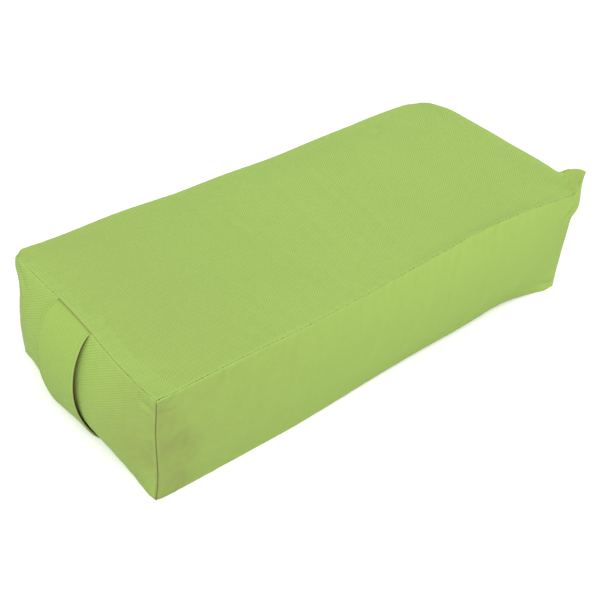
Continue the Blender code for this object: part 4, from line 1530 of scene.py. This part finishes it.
def bail(centre):
    # A bent wire over the outer plate
    shape = sliderShape
    foot = shape["channel"] / 2 + shape["plate"] / 2
    crown = shape["channel"] / 2 + shape["plate"] + shape["bailClear"] + shape["bailWire"]
    corner, span, steps = shape["bailCorner"], shape["bailHalfSpan"], shape["bailSteps"]
    middle = shape["length"] / 2
    route = [(middle - span, foot)]
    for side, turn in ((-1, pi), (1, pi / 2)):
        for step in range(steps + 1):
            angle = turn - step * pi / 2 / steps
            route.append((middle + side * (span - corner) + corner * cos(angle),
                          crown - corner + corner * sin(angle)))
    route.append((middle + span, foot))
    curve = bpy.data.curves.new("slider_bail", "CURVE")
    curve.dimensions = "3D"
    curve.bevel_depth = shape["bailWire"]
    curve.bevel_resolution = 3
    curve.use_fill_caps = True
    wire = [(centre.x + x, centre.y + y, centre.z) for x, y in route]
    return curveSolid("slider_bail", curve, [wire], False, Matrix())


def pullTab():
    shape = tabShape
    bar, hole, length = shape["thickness"] / 2, shape["holeLength"], shape["length"]
    end, grip, start = shape["endHalf"], shape["gripHalf"], shape["gripStart"]
    side = [
        (bar, end * 0.45),
        (bar, end * 0.9),
        (-0.0006, end),
        (-hole * 0.5, end),
        (-hole - 0.0006, end),
        (-start + 0.0006, end * 0.80),
        (-start - 0.0008, end * 0.92),
        (-start - 0.0032, grip),
        (-length * 0.6, grip),
        (-length + 0.0034, grip),
        (-length + 0.0004, grip * 0.86),
        (-length, grip * 0.25),
    ]
    holeSide = [(-bar - hole * along, shape["holeHalf"] * share)
                for along, share in ((0.0, 0.3), (0.0, 1.0), (0.5, 1.0), (1.0, 1.0), (1.0, 0.3))]
    middle = -length + shape["eyeFromEnd"]
    turns = [2.0 * pi * step / shape["eyeSteps"] for step in range(shape["eyeSteps"])]
    eye = [(middle + shape["eyeRadius"] * cos(turn), shape["eyeRadius"] * sin(turn)) for turn in turns]
    place = Vector((shape["axisX"], shape["axisY"], zipShape["height"]))
    loops = [rounded(mirrored(side)), rounded(mirrored(holeSide)), eye]
    made = pressedPlate("pull_tab_pressing", loops, shape["thickness"], shape["rounding"], place)
    finishLook(made, metal, 32.0)
    return made


slider = zipSlider()
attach(slider, "zip_slider")
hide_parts("zip_slider_body")
tab = pullTab()
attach(tab, "zip_pull")
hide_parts("zip_pull_tab")
print("slider and pull tab made")


# Stitches

stitching = {
    "pitch": 0.0032,
    "length": 0.0027,
    "thread": 0.00050,
    "lift": 0.62,
    "rungLength": 0.0013,
    "rungThread": 0.00042,
    "rungLift": 0.25,
    "seamInset": 0.00185,
    "cordLength": 0.0042,
    "cordThread": 0.00125,
    "cordInset": 0.00085,
    "topInset": 0.0034,
    "pathStep": 0.0040,
    "sides": 6,
    "steps": 6,
    "thinEnds": 0.45,
    "sag": 0.75,
    "seamEnd": 0.004,
    "cordPast": 0.004,
    "cordSteps": 24,
    "zipEnd": 0.0030,
    "zipPast": 0.001,
    "zipGap": 0.0010,
    "strapSteps": 60,
}


def sewingThread(name, colour):
    material, tree, shader, where = newMaterial(name, 0.62, sheen=0.1)
    ply = noiseAt(tree, where, 2400.0, 1.0)
    cloud = noiseAt(tree, where, 60.0, 2.0)
    shade = mixColour(tree, ply * 0.7 + cloud * 0.3, tint(colour, 0.78), tint(colour, 1.12))
    feed(tree, shader, "Base Color", shade)
    feed(tree, shader, "Roughness", 0.55 + cloud * 0.15)
    emboss(tree, shader, 0.6, 0.00008, ply)
    return material


def stitchPattern(name, length, thread, lift, acrossRun):
    # One stitch lying along X, or across the run, with its ends dipping into the cloth
    sides, steps = stitching["sides"], stitching["steps"]
    rings = []
    for step in range(steps + 1):
        part = step / steps * 2.0 - 1.0
        along = part * length / 2
        radius = thread / 2 * (1.0 - stitching["thinEnds"] * abs(part) ** 4)
        rise = thread * lift - thread * stitching["sag"] * part * part
        ring = [(radius * cos(turn), radius * sin(turn) + rise)
                for turn in (2.0 * pi * spot / sides for spot in range(sides))]
        rings.append([(-y, along, z) if acrossRun else (along, y, z) for y, z in ring])
    return addObject(name, skinRings(name, rings))


def stitchTree():
    # Stitches at an even pitch along every path of a mesh, facing the way that its points say
    tree, given = newGeometryTree("stitch run", (
        ("Geometry", "NodeSocketGeometry"), ("Stitch", "NodeSocketObject"), ("Pitch", "NodeSocketFloat"),
        ("Unevenness", "NodeSocketFloat"), ("Seed", "NodeSocketInt"), ("Material", "NodeSocketMaterial")))
    paths = tree.node("GeometryNodeMeshToCurve", {}, {"Mesh": given["Geometry"]})
    even = tree.node("GeometryNodeResampleCurve", {"mode": "LENGTH"},
                     {"Curve": paths, "Length": given["Pitch"]})
    run = tree.node("GeometryNodeInputTangent")
    facing = tree.node("GeometryNodeInputNamedAttribute", {"data_type": "FLOAT_VECTOR"}, {"Name": "facing"})
    turn = tree.node("FunctionNodeAxesToRotation", {"primary_axis": "X", "secondary_axis": "Z"},
                     {"Primary Axis": run, "Secondary Axis": facing})
    uneven = tree.node("FunctionNodeRandomValue", {"data_type": "FLOAT"},
                       {"Min_001": 1.0 - given["Unevenness"], "Max_001": 1.0 + given["Unevenness"],
                        "Seed": given["Seed"]}, "Value_001")
    size = tree.node("ShaderNodeCombineXYZ", {}, {"X": uneven, "Y": 1.0, "Z": 1.0})
    stitch = tree.node("GeometryNodeObjectInfo", {}, {"Object": given["Stitch"]}, "Geometry")
    placed = tree.node("GeometryNodeInstanceOnPoints", {},
                       {"Points": even, "Instance": stitch, "Rotation": turn, "Scale": size})
    closeGeometryTree(tree, placed, given["Material"])
    return tree


def pathMesh(name, paths):
    # Open or closed runs of points, each with the way that it faces
    points, facing, edges = [], [], []
    for run, closed in paths:
        start = len(points)
        for point, outward in run:
            points.append(point)
            facing.append(outward)
        edges += [(index, index + 1) for index in range(start, len(points) - 1)]
        if closed:
            edges.append((len(points) - 1, start))
    mesh = newMesh(name, points, [], edges)
    writeValues(mesh, "facing", facing, "FLOAT_VECTOR", "vector")
    return mesh


def seamPaths():
    # The twelve seams of the cover, along the bottom of the groove between two panels
    inset = stitching["seamInset"]
    centre = (boxLow + boxHigh) / 2
    half = (boxHigh - boxLow) / 2
    paths = []
    for axis in range(3):
        others = [other for other in range(3) if other != axis]
        for first in (-1, 1):
            for second in (-1, 1):
                count = max(2, int(2.0 * half[axis] / stitching["pathStep"]))
                line = np.zeros((count + 1, 3))
                reach = half[axis] - stitching["seamEnd"]
                line[:, axis] = centre[axis] + np.linspace(-1.0, 1.0, count + 1) * reach
                outward = np.zeros(3)
                for other, side in zip(others, (first, second)):
                    line[:, other] = centre[other] + side * (half[other] - inset)
                    outward[other] = side * sqrt(0.5)
                paths.append(([(point, outward) for point in stuffedForm(line)], False))
    return paths


def strapSeamPaths():
    # Where the strap's two ends are sewn in, the thread shows in the seam
    inset, count = stitching["cordInset"], stitching["cordSteps"] + 1
    width = strapShape["width"] + stitching["cordPast"]
    paths = []
    for top, slant in ((1, 0.0), (-1, strapShape["slant"])):
        line = np.zeros((count, 3))
        line[:, 0] = boxLow[0] + inset
        line[:, 1] = strapShape["middle"] - slant + np.linspace(-0.5, 0.5, count) * width
        line[:, 2] = (boxHigh[2] - inset) if top > 0 else inset
        outward = np.array([-1.0, 0.0, float(top)]) * sqrt(0.5)
        paths.append(([(point, outward) for point in stuffedForm(line)], False))
    return paths


def zipStitchPaths():
    # A line round the zip opening, through the folded edges of the two strips
    inset, gap = stitching["topInset"], stitching["zipGap"]
    end = coverShape["slotHalfLength"] + stitching["zipEnd"]
    height = coverShape["zipHeight"]
    run = []
    for side, near, far in ((1, "upper", "lower"), (-1, "lower", "upper")):
        for x in np.arange(-side * end, side * (end + 0.0005), side * stitching["pathStep"]):
            run.append(onPanel("cover_rear_" + near + "_strip", x, height + side * inset))
        for strip, start, stop in ((near, inset, gap), (far, -gap, -inset)):
            for rise in np.linspace(start, stop, 3):
                run.append(onPanel("cover_rear_" + strip + "_strip", side * (end + stitching["zipPast"]),
                                   height + side * rise))
    return [(run, True)]


def strapStitchPaths():
    inset = 1.0 - stitching["topInset"] / strapShape["width"] * 2.0
    steps = stitching["strapSteps"]
    parts = [(1.0 - cos(pi * step / steps)) / 2 for step in range(2, steps - 1)]
    paths = []
    for across in (-inset, inset):
        for side in (-1, 1):
            paths.append(([strapSurface(part, across, side) for part in parts], False))
    return paths


greenThread = sewingThread("coverThread", (0.36, 0.52, 0.13))
strapThread = sewingThread("strapThread", (0.39, 0.43, 0.12))
runs = stitchTree()
along = stitchPattern("stitch_along", stitching["length"], stitching["thread"], stitching["lift"], False)
cord = stitchPattern("stitch_cord", stitching["cordLength"], stitching["cordThread"], 0.0, False)
rung = stitchPattern("stitch_across", stitching["rungLength"], stitching["rungThread"],
                     stitching["rungLift"], True)
for name, paths, pattern, slot, thread in (
    ("seam_stitching", seamPaths(), rung, "cover_twill", greenThread),
    ("strap_seam_stitching", strapSeamPaths(), cord, "cover_twill", strapThread),
    ("zip_topstitching", zipStitchPaths(), along, "cover_twill", greenThread),
    ("strap_topstitching", strapStitchPaths(), along, "strap_twill", greenThread),
):
    stitches = runTree(name, pathMesh(name, paths), runs, {
        "Stitch": pattern,
        "Pitch": stitching["pitch"],
        "Unevenness": 0.06,
        "Seed": 5,
        "Material": thread,
    })
    stitches.data.shade_smooth()
    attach(stitches, "cushion")
for pattern in (along, cord, rung):
    bpy.data.objects.remove(pattern)
print("stitches sewn")


# Liner bag and its filling

liner = {
    "inset": 0.0065,
    "insetRear": 0.0085,
    "cloth": 0.0006,
    "roll": 0.0006,
    "step": 0.0060,
    "cuts": {"top": (0.652, 0.280), "bottom": (0.652, 0.280), "front": (0.652, 0.152), "rear": (0.652, 0.152),
             "handle": (0.280, 0.152), "plain": (0.280, 0.152)},
    "nodes": {"handle": "liner_handle_end_panel", "plain": "liner_plain_end_panel"},
}
filling = {
    "inset": 0.0026,
    "step": 0.0075,
    "lumpDepth": 0.0009,
    "lumpLength": 0.018,
}


def kapokFibre():
    material, tree, shader, where = newMaterial("kapokFibre", 0.95, sheen=0.3)
    drift = noiseAt(tree, where, 14.0, 4.0)
    combed = tree.node("ShaderNodeMapping", {}, {"Vector": where, "Scale": (900.0, 160.0, 420.0)})
    strands = noiseAt(tree, combed, 1.0, 5.0, Distortion=1.2)
    pale = mixColour(tree, drift, (0.72, 0.63, 0.43, 1.0), (0.86, 0.80, 0.64, 1.0))
    feed(tree, shader, "Base Color", mixColour(tree, strands, pale, (0.90, 0.86, 0.74, 1.0)))
    feed(tree, shader, "Roughness", 0.85 + drift * 0.12)
    emboss(tree, shader, 0.8, 0.0009, strands)
    return material


def linerBag():
    low = boxLow + np.array([liner["inset"]] * 3)
    high = boxHigh - np.array([liner["inset"], liner["insetRear"], liner["inset"]])
    cotton = wovenCloth("linerCalico", calico)
    for face, axes in faces.items():
        node = liner["nodes"].get(face, "liner_" + face + "_panel")
        panel = sewnPanel(node, axes, low=low, high=high, roll=liner["roll"], step=liner["step"])
        piece = clothObject(node.replace("liner_", "bag_"), panel, liner["cloth"], cotton)
        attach(piece, "cushion")
        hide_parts(node)


def kapokStuffing():
    # The filling keeps the bag's form, with a surface of tufts
    extra = liner["inset"] + filling["inset"]
    low = boxLow + extra
    high = boxHigh - np.array([extra, extra + liner["insetRear"] - liner["inset"], extra])
    box, quads, sides = boxGrid(low, high, filling["step"])
    centre = (low + high) / 2
    inward = (centre - box) / np.linalg.norm(centre - box, axis=1, keepdims=True)
    tufts = 0.5 + 0.5 * softNoise(box, filling["lumpLength"], 51)
    formed = stuffedForm(box) + inward * (tufts * filling["lumpDepth"])[:, None]
    mesh = newMesh("kapok_stuffing", formed, quads)
    turnOutwards(mesh)
    obj = addObject("kapok_stuffing", mesh)
    finishLook(obj, kapokFibre())
    return obj


stuffing = kapokStuffing()
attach(stuffing, "cushion")
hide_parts("kapok_filling")
linerBag()
print("liner and filling made")


# Stage, light and camera

view = {
    "pixels": 600,
    "sensor": 36.0,
    "focal": 1189.0,
    "azimuth": radians(-43.6),
    "elevation": radians(40.5),
    "roll": radians(6.36),
    "distance": 1.528,
    "aside": -0.006,
    "above": 0.021,
}
studio = {
    "white": (1.0, 1.0, 1.0, 1.0),
    "floorSize": 6.0,
    "floorColour": (0.80, 0.80, 0.80, 1.0),
    "floorGlow": 0.36,
    "sky": 0.60,
    "keyAzimuth": radians(-38.5),
    "keyElevation": radians(54.0),
    "keySpread": radians(35.0),
    "keyPower": 1.80,
}


def wayBack(azimuth, elevation):
    # From the bolster towards the camera or the lamp
    return Vector((sin(azimuth) * cos(elevation), -cos(azimuth) * cos(elevation), sin(elevation)))


def placeCamera():
    roll = view["roll"]
    back = wayBack(view["azimuth"], view["elevation"])
    right = (-back).cross(Vector((0.0, 0.0, 1.0))).normalized()
    up = right.cross(-back)
    across = cos(roll) * right + sin(roll) * up
    above = -sin(roll) * right + cos(roll) * up
    eye = back * view["distance"] + across * view["aside"] + above * view["above"]
    lens = bpy.data.cameras.new("camera")
    lens.sensor_width = view["sensor"]
    lens.lens = view["focal"] / view["pixels"] * lens.sensor_width
    lens.clip_start = 0.01
    camera = addObject("camera", lens)
    camera.matrix_world = Matrix((across, above, back)).transposed().to_4x4()
    camera.matrix_world.translation = eye
    bpy.context.scene.camera = camera


def seenWhite(tree, lit, white):
    # White to the camera and in reflections, and the plain shader for the light itself
    rays = tree.node("ShaderNodeLightPath", {}, {}, "Is Camera Ray")
    path = rays.socket.node
    seen = rays + Link(tree, path.outputs["Is Glossy Ray"]) + Link(tree, path.outputs["Is Transmission Ray"])
    capped = seen > 0.5
    return tree.node("ShaderNodeMixShader", {}, {0: capped, 1: lit, 2: white})


def setStage():
    half = studio["floorSize"] / 2
    corners = [(-half, -half, 0), (half, -half, 0), (half, half, 0), (-half, half, 0)]
    floor = addObject("floor", newMesh("floor", corners, [(0, 1, 2, 3)]))
    material = bpy.data.materials.new("paleFloor")
    material.use_nodes = True
    tree = NodeTree(material.node_tree)
    material.node_tree.nodes.remove(material.node_tree.nodes["Principled BSDF"])
    plain = tree.node("ShaderNodeBsdfDiffuse", {}, {"Color": studio["floorColour"]})
    glow = tree.node("ShaderNodeEmission", {}, {"Color": studio["white"], "Strength": studio["floorGlow"]})
    lifted = tree.node("ShaderNodeAddShader", {}, {0: plain, 1: glow})
    shown = seenWhite(tree, plain, lifted)
    output = material.node_tree.nodes["Material Output"]
    material.node_tree.links.new(shown.socket, output.inputs["Surface"])
    floor.data.materials.append(material)

    world = bpy.data.worlds.new("studio")
    bpy.context.scene.world = world
    world.use_nodes = True
    tree = NodeTree(world.node_tree)
    world.node_tree.nodes.remove(world.node_tree.nodes["Background"])
    sky = tree.node("ShaderNodeBackground", {}, {"Color": studio["white"], "Strength": studio["sky"]})
    white = tree.node("ShaderNodeBackground", {}, {"Color": studio["white"], "Strength": 1.0})
    shown = seenWhite(tree, sky, white)
    world.node_tree.links.new(shown.socket, world.node_tree.nodes["World Output"].inputs["Surface"])


def keyLight():
    # One broad lamp beside the camera lights the three faces evenly and puts their shadow behind them
    lamp = bpy.data.lights.new("key", "SUN")
    lamp.energy = studio["keyPower"]
    lamp.angle = studio["keySpread"]
    back = wayBack(studio["keyAzimuth"], studio["keyElevation"])
    addObject("key", lamp).rotation_euler = (-back).to_track_quat("-Z", "Y").to_euler()


placeCamera()
setStage()
keyLight()
bpy.context.scene.view_settings.view_transform = "Standard"
print("stage set")
